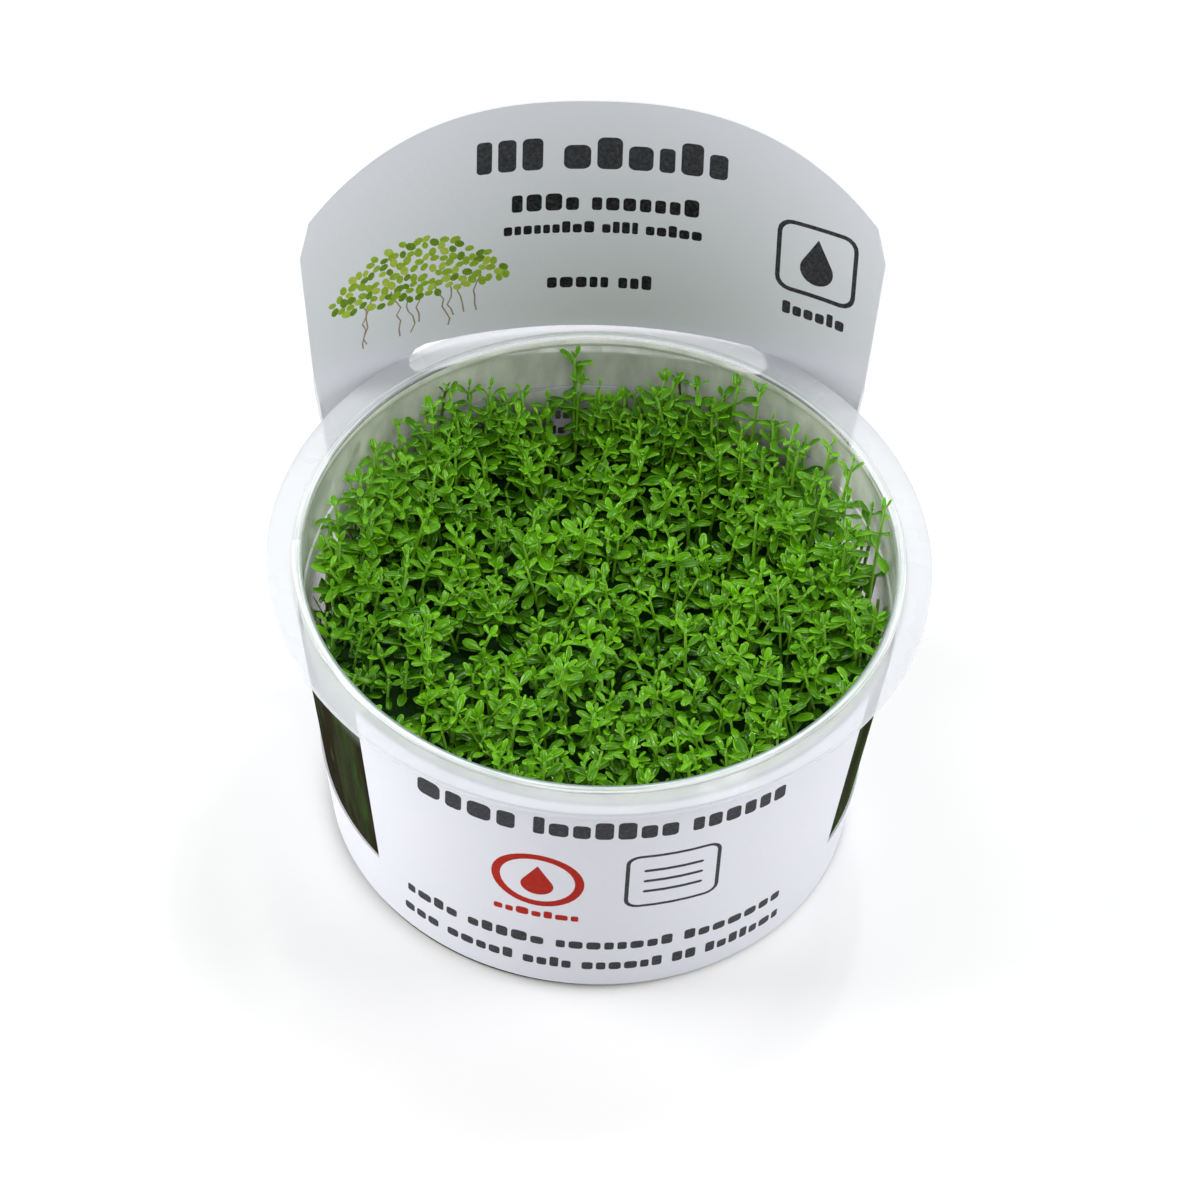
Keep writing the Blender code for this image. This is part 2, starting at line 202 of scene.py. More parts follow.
    def relief(self, height: bpy.types.NodeSocket, depth: float, strength: float = 1.0) -> None:
        """Join a height pattern to the shader's normal.

        Args:
            height: pattern from 0 to 1.
            depth: how deep the pattern is in metres.
            strength: share of the slope that is used.
        """
        bump = self.add("Bump", Strength=strength, Distance=depth)
        self.feed(bump, "Height", height)
        self.feed(self.shader, "Normal", bump.outputs["Normal"])


# Finishes


@dataclass(frozen=True)
class Finish:
    """A look with its values, which every kind of finish mixes in its own way."""

    name: str

    def make(self) -> bpy.types.Material:
        """Build the material."""
        recipe = Recipe(self.name)
        self.mix(recipe)
        return recipe.material

    def mix(self, recipe: Recipe) -> None:
        """Set up the finish's shader."""
        raise NotImplementedError


@dataclass(frozen=True)
class CupPlastic(Finish):
    """Clear or milky moulded plastic, denser where it is seen at a slant."""

    tint: Colour
    facing_density: float
    slant_density: float
    roughness: float = 0.10
    ripple: float = 9.0 * MM
    depth: float = 0.12 * MM
    mottle: float = 0.20
    gloss: float = 0.5
    bending: float = 1.49

    def mix(self, recipe: Recipe) -> None:
        """Set up the shader."""
        waves = recipe.noise(recipe.place((1.0, 1.0, 0.35)), self.ripple, 2.0)
        recipe.set(Base_Color=self.colour(recipe, waves), Alpha=self.density(recipe, waves), IOR=self.bending)
        recipe.set(Specular_IOR_Level=self.gloss)
        recipe.rough(waves, self.roughness * 0.7, self.roughness * 1.4)
        recipe.relief(waves, self.depth, 0.5)

    def colour(self, recipe: Recipe, waves: bpy.types.NodeSocket) -> object:
        """Return the base colour."""
        dark = tuple((1.0 - self.mottle) * part for part in self.tint)
        return recipe.blend(recipe.between(waves, 0.3, 0.7), self.tint, dark)

    def density(self, recipe: Recipe, waves: bpy.types.NodeSocket) -> bpy.types.NodeSocket:
        """Return how much of what is behind the plastic is hidden."""
        return recipe.turned_away(0.1, 1.0, self.facing_density, self.slant_density)


@dataclass(frozen=True)
class GrownWall(CupPlastic):
    """Outer side of the clear wall, where stems and moisture press against it in upright streaks, with a few
    pale streaks of painted highlight.
    """

    brown: Colour = (0.022, 0.018, 0.010)
    green: Colour = (0.032, 0.085, 0.012)
    # The pale colour is a painted highlight: light streaks on a wall that has no gloss.
    pale: Colour = (0.11, 0.14, 0.08)
    clear_above: float = 48.0 * MM
    fade: float = 7.0 * MM
    grown_facing: float = 0.35
    grown_slant: float = 0.96

    def colour(self, recipe: Recipe, waves: bpy.types.NodeSocket) -> object:
        """Return brown, olive and green streaks with a few pale ones, which are painted highlights in place
        of the wall's gloss.
        """
        broad = recipe.noise(recipe.place((1.0, 1.0, 0.10)), 4.5 * MM, 3.0)
        fine = recipe.noise(recipe.place((1.0, 1.0, 0.07)), 1.6 * MM, 3.0)
        body = recipe.blend(recipe.between(broad, 0.38, 0.52), self.brown, self.tint)
        body = recipe.blend(recipe.between(broad, 0.54, 0.66), body, self.green)
        body = recipe.blend(recipe.between(fine, 0.35, 0.55, 0.55, 0.0), body, self.brown)
        # The pale streaks are painted highlights.
        return recipe.blend(recipe.between(fine, 0.66, 0.76, 0.0, 0.7), body, self.pale)

    def density(self, recipe: Recipe, waves: bpy.types.NodeSocket) -> bpy.types.NodeSocket:
        """Return the plastic's own density, with the growth's added below the plants' tips."""
        clear = super().density(recipe, waves)
        height = recipe.axes()[2]
        growth = recipe.between(height, self.clear_above - self.fade, self.clear_above, 1.0, 0.0)
        slant = recipe.turned_away(0.45, 0.75, self.grown_facing, self.grown_slant)
        return recipe.maths("MAXIMUM", clear, recipe.maths("MULTIPLY", growth, slant))


@dataclass(frozen=True)
class MistedPlastic(CupPlastic):
    """Clear wall seen from inside: misted with moisture above the plants, in upright runs."""

    mist_low: float = 36.0 * MM
    mist_high: float = 45.0 * MM
    mist: float = 0.88
    densest: float = 0.93
    # Painted shade: the wall's colour where it is seen edge on.
    edge_on_shade: Colour = (0.36, 0.42, 0.34)

    def colour(self, recipe: Recipe, waves: bpy.types.NodeSocket) -> object:
        """Return the tint with painted shade where the wall is seen edge on."""
        own = super().colour(recipe, waves)
        # Painted shade where the wall is seen edge on.
        return recipe.blend(recipe.turned_away(0.45, 0.80, 0.0, 0.95), own, self.edge_on_shade)

    def density(self, recipe: Recipe, waves: bpy.types.NodeSocket) -> bpy.types.NodeSocket:
        """Return the plastic's own density with the mist's added above the plants."""
        clear = super().density(recipe, waves)
        rise = recipe.between(recipe.axes()[2], self.mist_low, self.mist_high, 0.0, self.mist)
        streaks = recipe.noise(recipe.place((1.0, 1.0, 0.35)), 2.6 * MM, 4.0)
        veil = recipe.maths("MULTIPLY", rise, recipe.between(streaks, 0.3, 0.7, 0.75, 1.0))
        veil = recipe.maths("MULTIPLY", veil, recipe.turned_away(0.2, 0.9, 0.9, 1.3))
        return recipe.maths("MINIMUM", recipe.maths("ADD", clear, veil), self.densest)


@dataclass(frozen=True)
class RingedPlastic(CupPlastic):
    """Clear plastic of the bead, dense on its outer side, where fine rings run round the mouth."""

    spread: float = 0.45 * MM
    # The edge colour darkens the rings and gives the painted dark line at the mouth's edge.
    edge: Colour = (0.10, 0.15, 0.14)
    # Painted shade colour for the bead's inner half where it turns away.
    shade: Colour = (0.20, 0.32, 0.31)
    edge_radius: float = 45.28 * MM

    def rings(self, recipe: Recipe) -> tuple[bpy.types.NodeSocket, bpy.types.NodeSocket]:
        """Return the distance from the cup's axis and a pattern of rings that come and go."""
        x, y, z = recipe.axes()
        length = recipe.add("VectorMath", operation="LENGTH")
        recipe.feed(length, 0, recipe.vector(x, y))
        radius = length.outputs["Value"]
        around = recipe.maths("MULTIPLY", recipe.maths("ARCTAN2", y, x), 0.8 * MM)
        return radius, recipe.noise(recipe.vector(radius, around, z), self.spread, 2.0)

    def colour(self, recipe: Recipe, waves: bpy.types.NodeSocket) -> object:
        """Return the tint with painted shade where the inner half turns away, and a painted dark line at the
        mouth's edge.
        """
        radius, rings = self.rings(recipe)
        # Painted dark line at the mouth's edge.
        line = recipe.between(radius, self.edge_radius - 0.10 * MM, self.edge_radius + 0.10 * MM, 0.9, 0.0)
        inner_half = recipe.between(radius, 45.95 * MM, 45.75 * MM)
        slant = recipe.maths("MULTIPLY", recipe.turned_away(0.24, 0.40), inner_half)
        above = recipe.between(recipe.axes()[2], 54.3 * MM, 54.8 * MM)
        shaded = recipe.blend(recipe.between(rings, 0.42, 0.60, 0.0, 0.30), self.tint, self.edge)
        # Painted shade on the inner half where it turns away.
        shaded = recipe.blend(recipe.maths("MULTIPLY", slant, above), shaded, self.shade)
        return recipe.blend(recipe.maths("MULTIPLY", line, above), shaded, self.edge)

    def density(self, recipe: Recipe, waves: bpy.types.NodeSocket) -> bpy.types.NodeSocket:
        """Return a density that grows outwards and swings from ring to ring."""
        radius, rings = self.rings(recipe)
        swing = recipe.between(rings, 0.36, 0.62, 1.0, 0.75)
        outwards = recipe.between(radius, self.edge_radius, self.edge_radius + 0.35 * MM,
                                  self.facing_density, self.slant_density)
        return recipe.maths("MULTIPLY", swing, outwards)


@dataclass(frozen=True)
class Card(Finish):
    """White card with a fine pressed grain and a faint mottle."""

    name: str = "white card"
    colour: Colour = (0.79, 0.797, 0.86)
    shade: Colour = (0.765, 0.775, 0.835)
    grain: float = 0.55 * MM

    def mix(self, recipe: Recipe) -> None:
        """Set up the shader."""
        where = recipe.place()
        grain = recipe.noise(where, self.grain, 3.0)
        cloud = recipe.noise(where, 14.0 * MM, 2.0)
        recipe.set(Base_Color=recipe.blend(cloud, self.colour, self.shade), Specular_IOR_Level=0.3)
        recipe.rough(grain, 0.42, 0.56)
        recipe.relief(grain, 0.035 * MM, 0.55)


@dataclass(frozen=True)
class Ink(Finish):
    """Printing ink on the card: its colour with a fine unevenness, over the card's own grain."""

    colour: Colour
    worn: Colour
    grain: float = 0.55 * MM

    def mix(self, recipe: Recipe) -> None:
        """Set up the shader."""
        where = recipe.place()
        grain = recipe.noise(where, self.grain, 3.0)
        recipe.set(Base_Color=recipe.blend(recipe.between(grain, 0.35, 0.75), self.colour, self.worn))
        recipe.set(Specular_IOR_Level=0.15, IOR=1.25)
        recipe.rough(grain, 0.36, 0.5)
        recipe.relief(grain, 0.035 * MM, 0.55)


@dataclass(frozen=True)
class LeafSkin(Finish):
    """Moist leaf: mid green with a paler midrib and a paler rim that is partly painted light, and painted
    shade low in the cushion.
    """

    name: str = "baby tears leaf"
    young: Colour = (0.160, 0.48, 0.003)
    grown: Colour = (0.016, 0.120, 0.0008)
    # The rim colour is partly the leaf's own paler margin and partly painted light through the thin margin.
    rim: Colour = (0.27, 0.68, 0.012)
    # The deep colour is painted shade low in the cushion.
    deep: Colour = (0.005, 0.055, 0.0005)
    low: float = 31.0 * MM
    high: float = 43.0 * MM

    def mix(self, recipe: Recipe) -> None:
        """Set up the shader, which reads the leaf attribute: across, along and tone."""
        where = recipe.place()
        leaf = recipe.add("Attribute", attribute_name="leaf").outputs["Vector"]
        across, along, tone = recipe.axes(leaf)
        across = recipe.maths("ABSOLUTE", across)
        blotch = recipe.noise(where, 3.2 * MM, 2.0)
        body = recipe.blend(tone, self.grown, self.young)
        body = recipe.blend(recipe.between(blotch, 0.45, 0.75, 0.0, 0.25), body, self.rim)
        # Paler rim at the margin: partly the leaf's own colour, partly painted light.
        edge = recipe.maths("MAXIMUM", recipe.between(across, 0.72, 1.0), recipe.between(along, 0.92, 1.0))
        body = recipe.blend(recipe.maths("MULTIPLY", edge, 0.6), body, self.rim)
        rib = recipe.between(across, 0.16, 0.03, 0.0, 0.12)
        body = recipe.blend(rib, body, self.rim)
        # Painted shade: leaves darken towards the deep colour low in the cushion.
        depth = recipe.between(recipe.axes(where)[2], self.low, self.high, 1.0, 0.0)
        recipe.set(Base_Color=recipe.blend(depth, body, self.deep), Specular_IOR_Level=0.45)
        recipe.rough(blotch, 0.10, 0.24)
        recipe.set(Subsurface_Weight=0.18, Subsurface_Scale=0.6 * MM, Subsurface_Radius=(0.5, 1.0, 0.1))
        recipe.relief(recipe.noise(where, 0.6 * MM, 2.0), 0.014 * MM, 0.5)


@dataclass(frozen=True)
class StemSkin(Finish):
    """Pale juicy stem, darker and browner towards its foot."""

    name: str = "baby tears stem"
    top: Colour = (0.20, 0.50, 0.018)
    foot: Colour = (0.030, 0.095, 0.008)
    low: float = 24.0 * MM
    high: float = 45.0 * MM

    def mix(self, recipe: Recipe) -> None:
        """Set up the shader."""
        rise = recipe.between(recipe.axes()[2], self.low, self.high)
        streak = recipe.noise(recipe.place((1.0, 1.0, 0.2)), 0.5 * MM, 2.0)
        body = recipe.blend(rise, self.foot, self.top)
        recipe.set(Base_Color=recipe.blend(recipe.between(streak, 0.4, 0.8, 0.0, 0.4), body, self.foot))
        recipe.rough(streak, 0.3, 0.45)
        recipe.relief(streak, 0.04 * MM, 0.6)


@dataclass(frozen=True)
class Undergrowth(Finish):
    """Matted stems and roots, dark olive to brown in upright streaks, with painted shade in the gaps and a
    painted shadow under the leaves.
    """

    name: str = "matted undergrowth"
    olive: Colour = (0.050, 0.052, 0.020)
    brown: Colour = (0.060, 0.038, 0.018)
    green: Colour = (0.045, 0.105, 0.018)
    # The gap colour is painted shade between the stems.
    gap: Colour = (0.012, 0.018, 0.006)
    shadow: Colour = (0.004, 0.030, 0.001)

    def mix(self, recipe: Recipe) -> None:
        """Set up the shader."""
        upright = recipe.place((1.0, 1.0, 0.16))
        fine = recipe.noise(upright, 0.8 * MM, 4.0)
        broad = recipe.noise(upright, 5.0 * MM, 3.0)
        body = recipe.blend(recipe.between(broad, 0.35, 0.6), self.brown, self.olive)
        body = recipe.blend(recipe.between(broad, 0.55, 0.75), body, self.green)
        # Painted shade in the gaps between the stems.
        body = recipe.blend(recipe.between(fine, 0.45, 0.75, 0.0, 0.8), body, self.gap)
        # Painted shadow where the mat lies under the leaves.
        under_leaves = recipe.between(recipe.axes()[2], 30.0 * MM, 33.0 * MM)
        recipe.set(Base_Color=recipe.blend(under_leaves, body, self.shadow), Specular_IOR_Level=0.15)
        recipe.rough(fine, 0.5, 0.75)
        recipe.relief(fine, 0.5 * MM, 0.8)


@dataclass(frozen=True)
class Gel(Finish):
    """Cloudy nutrient gel with fine roots grown through it."""

    name: str = "nutrient gel"
    colour: Colour = (0.30, 0.31, 0.17)
    cloud: Colour = (0.42, 0.42, 0.28)
    root: Colour = (0.55, 0.54, 0.42)

    def mix(self, recipe: Recipe) -> None:
        """Set up the shader."""
        where = recipe.place()
        broad = recipe.noise(where, 7.0 * MM, 3.0)
        roots = recipe.noise(where, 0.9 * MM, 4.0)
        body = recipe.blend(broad, self.colour, self.cloud)
        body = recipe.blend(recipe.between(roots, 0.58, 0.66), body, self.root)
        recipe.set(Base_Color=body, Coat_Weight=0.4)
        recipe.rough(broad, 0.18, 0.34)
        recipe.relief(broad, 0.4 * MM, 0.5)


@dataclass(frozen=True)
class PaleFloor(Finish):
    """Matt white studio floor, faintly lit from below."""

    name: str = "pale floor"
    colour: Colour = (0.90, 0.90, 0.90)
    cloud: Colour = (0.92, 0.92, 0.92)
    glow: float = 0.06

    def mix(self, recipe: Recipe) -> None:
        """Set up the shader."""
        broad = recipe.noise(recipe.place(), 0.4, 1.0)
        recipe.set(Base_Color=recipe.blend(broad, self.colour, self.cloud), Roughness=0.9)
        recipe.set(Emission_Color=(1.0, 1.0, 1.0), Emission_Strength=self.glow)


# Mesh helpers


def add_piece(name: str, mesh: bpy.types.Mesh | bmesh.types.BMesh, *materials: bpy.types.Material,
              smooth: bool = True) -> bpy.types.Object:
    """Put a finished mesh into the scene as an object at the origin.

    Args:
        name: name of the piece.
        mesh: its mesh, or a bmesh that is used up.
        materials: its material slots in order.
        smooth: True shades its faces smooth.

    Returns:
        The new object.
    """
    if isinstance(mesh, bmesh.types.BMesh):
        made = bpy.data.meshes.new(name)
        mesh.to_mesh(made)
        mesh.free()
        mesh = made
    mesh.name = name
    for material in materials:
        mesh.materials.append(material)
    mesh.polygons.foreach_set("use_smooth", [smooth] * len(mesh.polygons))
    piece = bpy.data.objects.new(name, mesh)
    bpy.context.scene.collection.objects.link(piece)
    LOG.info("%s: %d faces", name, len(mesh.polygons))
    return piece


def turned(profile: list[Point2], steps: int) -> bmesh.types.BMesh:
    """Spin a profile once round the Z axis.

    Args:
        profile: radius and height of each corner, from the axis or round a closed section.
        steps: number of segments of the turn.

    Returns:
        The turned shape with its faces pointing outwards.
    """
    bm = bmesh.new()
    corners = [bm.verts.new((radius, 0.0, height)) for radius, height in profile]
    edges = [bm.edges.new(pair) for pair in zip(corners, corners[1:])]
    bmesh.ops.spin(bm, geom=corners + edges, cent=(0, 0, 0), axis=(0, 0, 1), angle=TURN,
                   steps=steps, use_merge=True)
    bmesh.ops.remove_doubles(bm, verts=bm.verts, dist=1e-6)
    bmesh.ops.recalc_face_normals(bm, faces=bm.faces)
    return bm


# Cup


class CupPart(Enum):
    """The cup's surfaces, in the order of its material slots."""

    WALL = 0
    FLANGE = 1
    BEAD = 2
    INSIDE = 3


@dataclass
class Cup:
    """The clear cup: base, wall, flange with its turned-down edge, and the bead round the mouth."""

    base_radius: float = 40.4 * MM
    base_rounding: float = 1.0 * MM
    neck_radius: float = 47.0 * MM
    wall: float = 0.9 * MM
    floor: float = 1.2 * MM
    flange_radius: float = 50.5 * MM
    flange_top: float = 54.8 * MM
    flange_thickness: float = 0.8 * MM
    edge_depth: float = 1.2 * MM
    edge_width: float = 0.7 * MM
    mouth_radius: float = 45.1 * MM
    bead_radius: float = 46.7 * MM
    bead_rise: float = 0.45 * MM
    lip_depth: float = 1.5 * MM
    step_height: float = 44.0 * MM
    step_width: float = 0.28 * MM
    segments: int = 160
    rounding: float = 0.16 * MM

    def outer(self, height: float) -> float:
        """Return the radius of the outer wall at a height, carried on in a straight line above the neck."""
        return self.base_radius + (self.neck_radius - self.base_radius) * height / (
            self.flange_top - self.flange_thickness)

    def inner(self, height: float) -> float:
        """Return the radius of the inner wall at a height."""
        return self.outer(height) - self.wall

    def profile(self) -> list[Point2]:
        """List the corners of the cup's section, from the axis below round to the axis above."""
        top, rounding = self.flange_top, self.base_rounding
        under, edge_foot = top - self.flange_thickness, top - self.edge_depth
        lip_foot = top - self.lip_depth
        thin = self.step_width
        lip_back = lip_foot - (self.inner(lip_foot) + thin - self.mouth_radius) * 0.5
        ledge = self.step_height
        middle = (self.mouth_radius + self.bead_radius) / 2.0
        half = (self.bead_radius - self.mouth_radius) / 2.0
        crown = [
            (middle + half * math.cos(swing), top + self.bead_rise * math.sin(swing))
            for swing in (math.pi * step / 6.0 for step in range(7))
        ]
        return [
            (0.0, 0.0),
            (self.base_radius - rounding, 0.0),
            (self.outer(rounding) - 0.3 * rounding, 0.3 * rounding),
            (self.outer(rounding), rounding),
            (self.outer(under), under),
            (self.flange_radius - self.edge_width, under),
            (self.flange_radius - self.edge_width, edge_foot),
            (self.flange_radius, edge_foot),
            (self.flange_radius, top),
            *crown,
            (self.mouth_radius, lip_foot),
            (self.inner(lip_back) + thin, lip_back),
            (self.inner(ledge) + thin, ledge + 0.16 * MM),
            (self.inner(ledge), ledge),
            (self.inner(self.floor + rounding), self.floor + rounding),
            (self.inner(self.floor) - rounding, self.floor),
            (0.0, self.floor),
        ]

    def part(self, face: bmesh.types.BMFace) -> CupPart:
        """Return the surface of the cup that a face belongs to."""
        middle = face.calc_center_median()
        radius = math.hypot(middle.x, middle.y)
        if radius > self.bead_radius - 0.05 * MM and middle.z > self.flange_top - self.edge_depth - 0.1 * MM:
            return CupPart.FLANGE
        if radius > self.mouth_radius - 0.4 * MM and middle.z > self.flange_top - 0.3 * MM:
            return CupPart.BEAD
        # The step's upward faces take the milky flange plastic as a painted highlight line.
        if abs(middle.z - self.step_height) < 0.6 * MM and face.normal.z > 0.35:
            return CupPart.FLANGE
        if middle.z > self.floor and radius < self.outer(middle.z) - self.wall * 0.6 + self.step_width:
            return CupPart.INSIDE
        return CupPart.WALL

    def build(self, wall: bpy.types.Material, flange: bpy.types.Material, bead: bpy.types.Material,
              inside: bpy.types.Material) -> bpy.types.Object:
        """Turn the cup, round its sharp edges and hand it to the frame in the plain cup's place.

        Args:
            wall: the material of the base and the wall's outer side.
            flange: the milky flange's material.
            bead: the material of the bead and the lip inside the mouth.
            inside: the material of the wall's inner side.

        Returns:
            The cup.
        """
        bm = turned(self.profile(), self.segments)
        sharp = [edge for edge in bm.edges if edge.calc_face_angle(0.0) > math.radians(35)]
        bmesh.ops.bevel(bm, geom=sharp, offset=self.rounding, offset_type="OFFSET", segments=2,
                        profile=0.5, affect="EDGES", material=-1, clamp_overlap=True)
        for face in bm.faces:
            face.material_index = self.part(face).value
        piece = add_piece("clear_cup", bm, wall, flange, bead, inside)
        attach(piece, "root")
        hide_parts("cup")
        return piece


# Print on the card


class Side(Enum):
    """The card's two sides."""

    INNER = 0
    OUTER = 1


class Tone(Enum):
    """The printing inks, in the order of the card's material slots after the card itself."""

    DARK = 1
    BLACK = 2
    RED = 3
    LEAF = 4
    SHOOT = 5
    MOSS = 6
    ROOT = 7


@dataclass(frozen=True)
class Mark:
    """One printed shape on the flat card.

    Args:
        outline: its corners, as the arc from the middle of its panel and the height.
        side: the side of the card that it is printed on.
        tone: its ink, or None where it leaves the card bare inside a larger mark.
    """

    outline: tuple[Point2, ...]
    side: Side
    tone: Tone | None


Line = tuple[Tone, tuple[float, float, float, float], tuple[int, ...]]


def bar(x: float, z: float, length: float, height: float) -> tuple[Point2, ...]:
    """Return a bar with round ends, its middle at (x, z), all in metres."""
    radius, half = height / 2.0, length / 2.0 - height / 2.0
    points = []
    for end in (0, 1):
        for step in range(6):
            swing = math.pi * (end + step / 5.0) - math.pi / 2.0
            offset = half if end == 0 else -half
            points.append((offset + radius * math.cos(swing), radius * math.sin(swing)))
    return tuple((x + a, z + b) for a, b in points)


def oval(x: float, z: float, long: float, wide: float, slope: float = 0.0,
         steps: int = 10) -> tuple[Point2, ...]:
    """Return an oval of a length and width, its long axis at a slope."""
    points = [
        (long / 2.0 * math.cos(TURN * step / steps), wide / 2.0 * math.sin(TURN * step / steps))
        for step in range(steps)
    ]
    return tuple(
        (x + a * math.cos(slope) - b * math.sin(slope), z + a * math.sin(slope) + b * math.cos(slope))
        for a, b in points
    )


def block(x: float, z: float, width: float, height: float, corner: float) -> tuple[Point2, ...]:
    """Return a rectangle with round corners."""
    points = []
    for quarter in range(4):
        across = (width / 2.0 - corner) * (1 if quarter in (0, 3) else -1)
        up = (height / 2.0 - corner) * (1 if quarter in (0, 1) else -1)
        for step in range(5):
            swing = (quarter + step / 4.0) * math.pi / 2.0
            points.append((x + across + corner * math.cos(swing), z + up + corner * math.sin(swing)))
    return tuple(points)


def drop(x: float, z: float, height: float) -> tuple[Point2, ...]:
    """Return an upright drop with its point above."""
    radius = height * 0.32
    points = [
        (x + radius * math.cos(swing), z - height * 0.18 + radius * math.sin(swing))
        for swing in (math.radians(150 + 240 * step / 16.0) for step in range(17))
    ]
    return tuple(points + [(x, z + height / 2.0)])


@dataclass
class Print:
    """Plain marks that stand where the sleeve is printed: rows of bars, simple signs and a tuft of leaves."""

    seed: int = 5

    def marks(self) -> list[Mark]:
        """List every mark of the print."""
        return self.tab_words() + self.tab_sign() + self.tab_tuft() + self.rear_words() + self.front_words()

    @staticmethod
    def row(side: Side, tone: Tone, start: float, end: float, z: float, height: float,
            groups: tuple[int, ...]) -> list[Mark]:
        """Return a row of upright blocks in groups, which fills the space from start to end.

        Args:
            side: side of the card.
            tone: ink of the blocks.
            start: arc of the row's left end.
            end: arc of its right end.
            z: height of its middle.
            height: height of most of the blocks.
            groups: number of blocks of each group in order.

        Returns:
            One mark for each block.
        """
        rng = random.Random(sum(groups) * 31 + len(groups))
        widths = [[rng.uniform(0.55, 1.0) for _ in range(count)] for count in groups]
        total = sum(sum(group) + 0.22 * (len(group) - 1) for group in widths) + 0.75 * (len(groups) - 1)
        unit = (end - start) / total
        marks = []
        for group in widths:
            for width in group:
                tall = height * (1.32 if rng.random() < 0.3 else 1.0)
                outline = block(start + width * unit / 2.0, z + (tall - height) / 2.0, width * unit, tall,
                                min(width * unit, tall) * 0.28)
                marks.append(Mark(outline, side, tone))
                start += (width + 0.22) * unit
            start += (0.75 - 0.22) * unit
        return marks

    def rows(self, side: Side, lines: tuple[Line, ...]) -> list[Mark]:
        """Return several rows of blocks.

        Args:
            side: side of the card.
            lines: for each row its ink, its start, end, middle and height in millimetres, and its groups.

        Returns:
            The marks of every row.
        """
        return [mark for tone, sizes, groups in lines
                for mark in self.row(side, tone, *(size * MM for size in sizes), groups)]

    def tab_words(self) -> list[Mark]:
        """Return the rows of bars in the middle of the tab."""
        return self.rows(Side.INNER, (
            (Tone.DARK, (-18.0, 21.0, 88.8, 4.6), (3, 6)),
            (Tone.BLACK, (-12.4, 16.8, 79.8, 2.5), (4, 7)),
            (Tone.BLACK, (-13.6, 17.4, 75.0, 1.7), (9, 4, 5)),
            (Tone.BLACK, (-6.6, 9.8, 64.4, 2.1), (5, 3)),
        ))

    def tab_sign(self) -> list[Mark]:
        """Return the framed drop at the right of the tab, with a short bar below it."""
        x, z, size, line = 36.0 * MM, 75.2 * MM, 13.4 * MM, 0.75 * MM
        return [
            Mark(block(x, z, size, size, 2.4 * MM), Side.INNER, Tone.DARK),
            Mark(block(x, z, size - 2.0 * line, size - 2.0 * line, 1.8 * MM), Side.INNER, None),
            Mark(drop(x, z, 8.6 * MM), Side.INNER, Tone.DARK),
            *self.row(Side.INNER, Tone.DARK, x - 5.2 * MM, x + 5.2 * MM, 65.0 * MM, 1.8 * MM, (6,)),
        ]

    def tab_tuft(self) -> list[Mark]:
        """Return the tuft of small leaves at the left of the tab, on a few fine roots."""
        rng = random.Random(self.seed)
        marks = []
        for index in range(9):
            x, z = (-37.5 + 2.6 * index + rng.uniform(-0.5, 0.5)), rng.uniform(66.5, 68.5)
            path = [(x, z)]
            for _ in range(rng.choice((5, 6, 7))):
                x += rng.uniform(-0.75, 0.75)
                z -= rng.uniform(1.0, 1.7)
                path.append((x, z))
            band = [(a - 0.13, b) for a, b in path] + [(a + 0.13, b) for a, b in reversed(path)]
            marks.append(Mark(tuple((a * MM, b * MM) for a, b in band), Side.INNER, Tone.ROOT))
        spots: list[Point2] = []
        for _ in range(2500):
            x = rng.uniform(-42.5, -13.0)
            share = 1.0 - abs((x + 27.5) / 15.5) ** 2.0
            z = rng.uniform(66.6 - 1.5 * share, 67.4 + 9.0 * share)
            if all(math.hypot(x - a, z - b) > 1.12 for a, b in spots):
                spots.append((x, z))
        for x, z in sorted(spots, key=lambda spot: -spot[1]):
            size = rng.uniform(1.35, 1.95)
            outline = oval(x * MM, z * MM, size * MM, size * 0.74 * MM, rng.uniform(0.0, math.pi), 8)
            marks.append(Mark(outline, Side.INNER, rng.choice((Tone.LEAF, Tone.LEAF, Tone.SHOOT, Tone.MOSS))))
        return marks

    def rear_words(self) -> list[Mark]:
        """Return the rows of fine bars low on the rear of the card, seen through the cup."""
        return self.rows(Side.INNER, (
            (Tone.BLACK, (-35.0, -7.0, 40.4, 1.3), (5, 7, 4, 6)),
            (Tone.BLACK, (12.0, 38.0, 40.4, 1.3), (6, 3, 8, 5)),
            (Tone.BLACK, (-36.0, 38.0, 37.4, 1.3), (6, 3, 7, 5, 8, 4, 7, 6, 5)),
            (Tone.BLACK, (-36.0, 38.0, 34.4, 1.3), (4, 8, 5, 6, 3, 7, 6, 4, 8)),
        ))

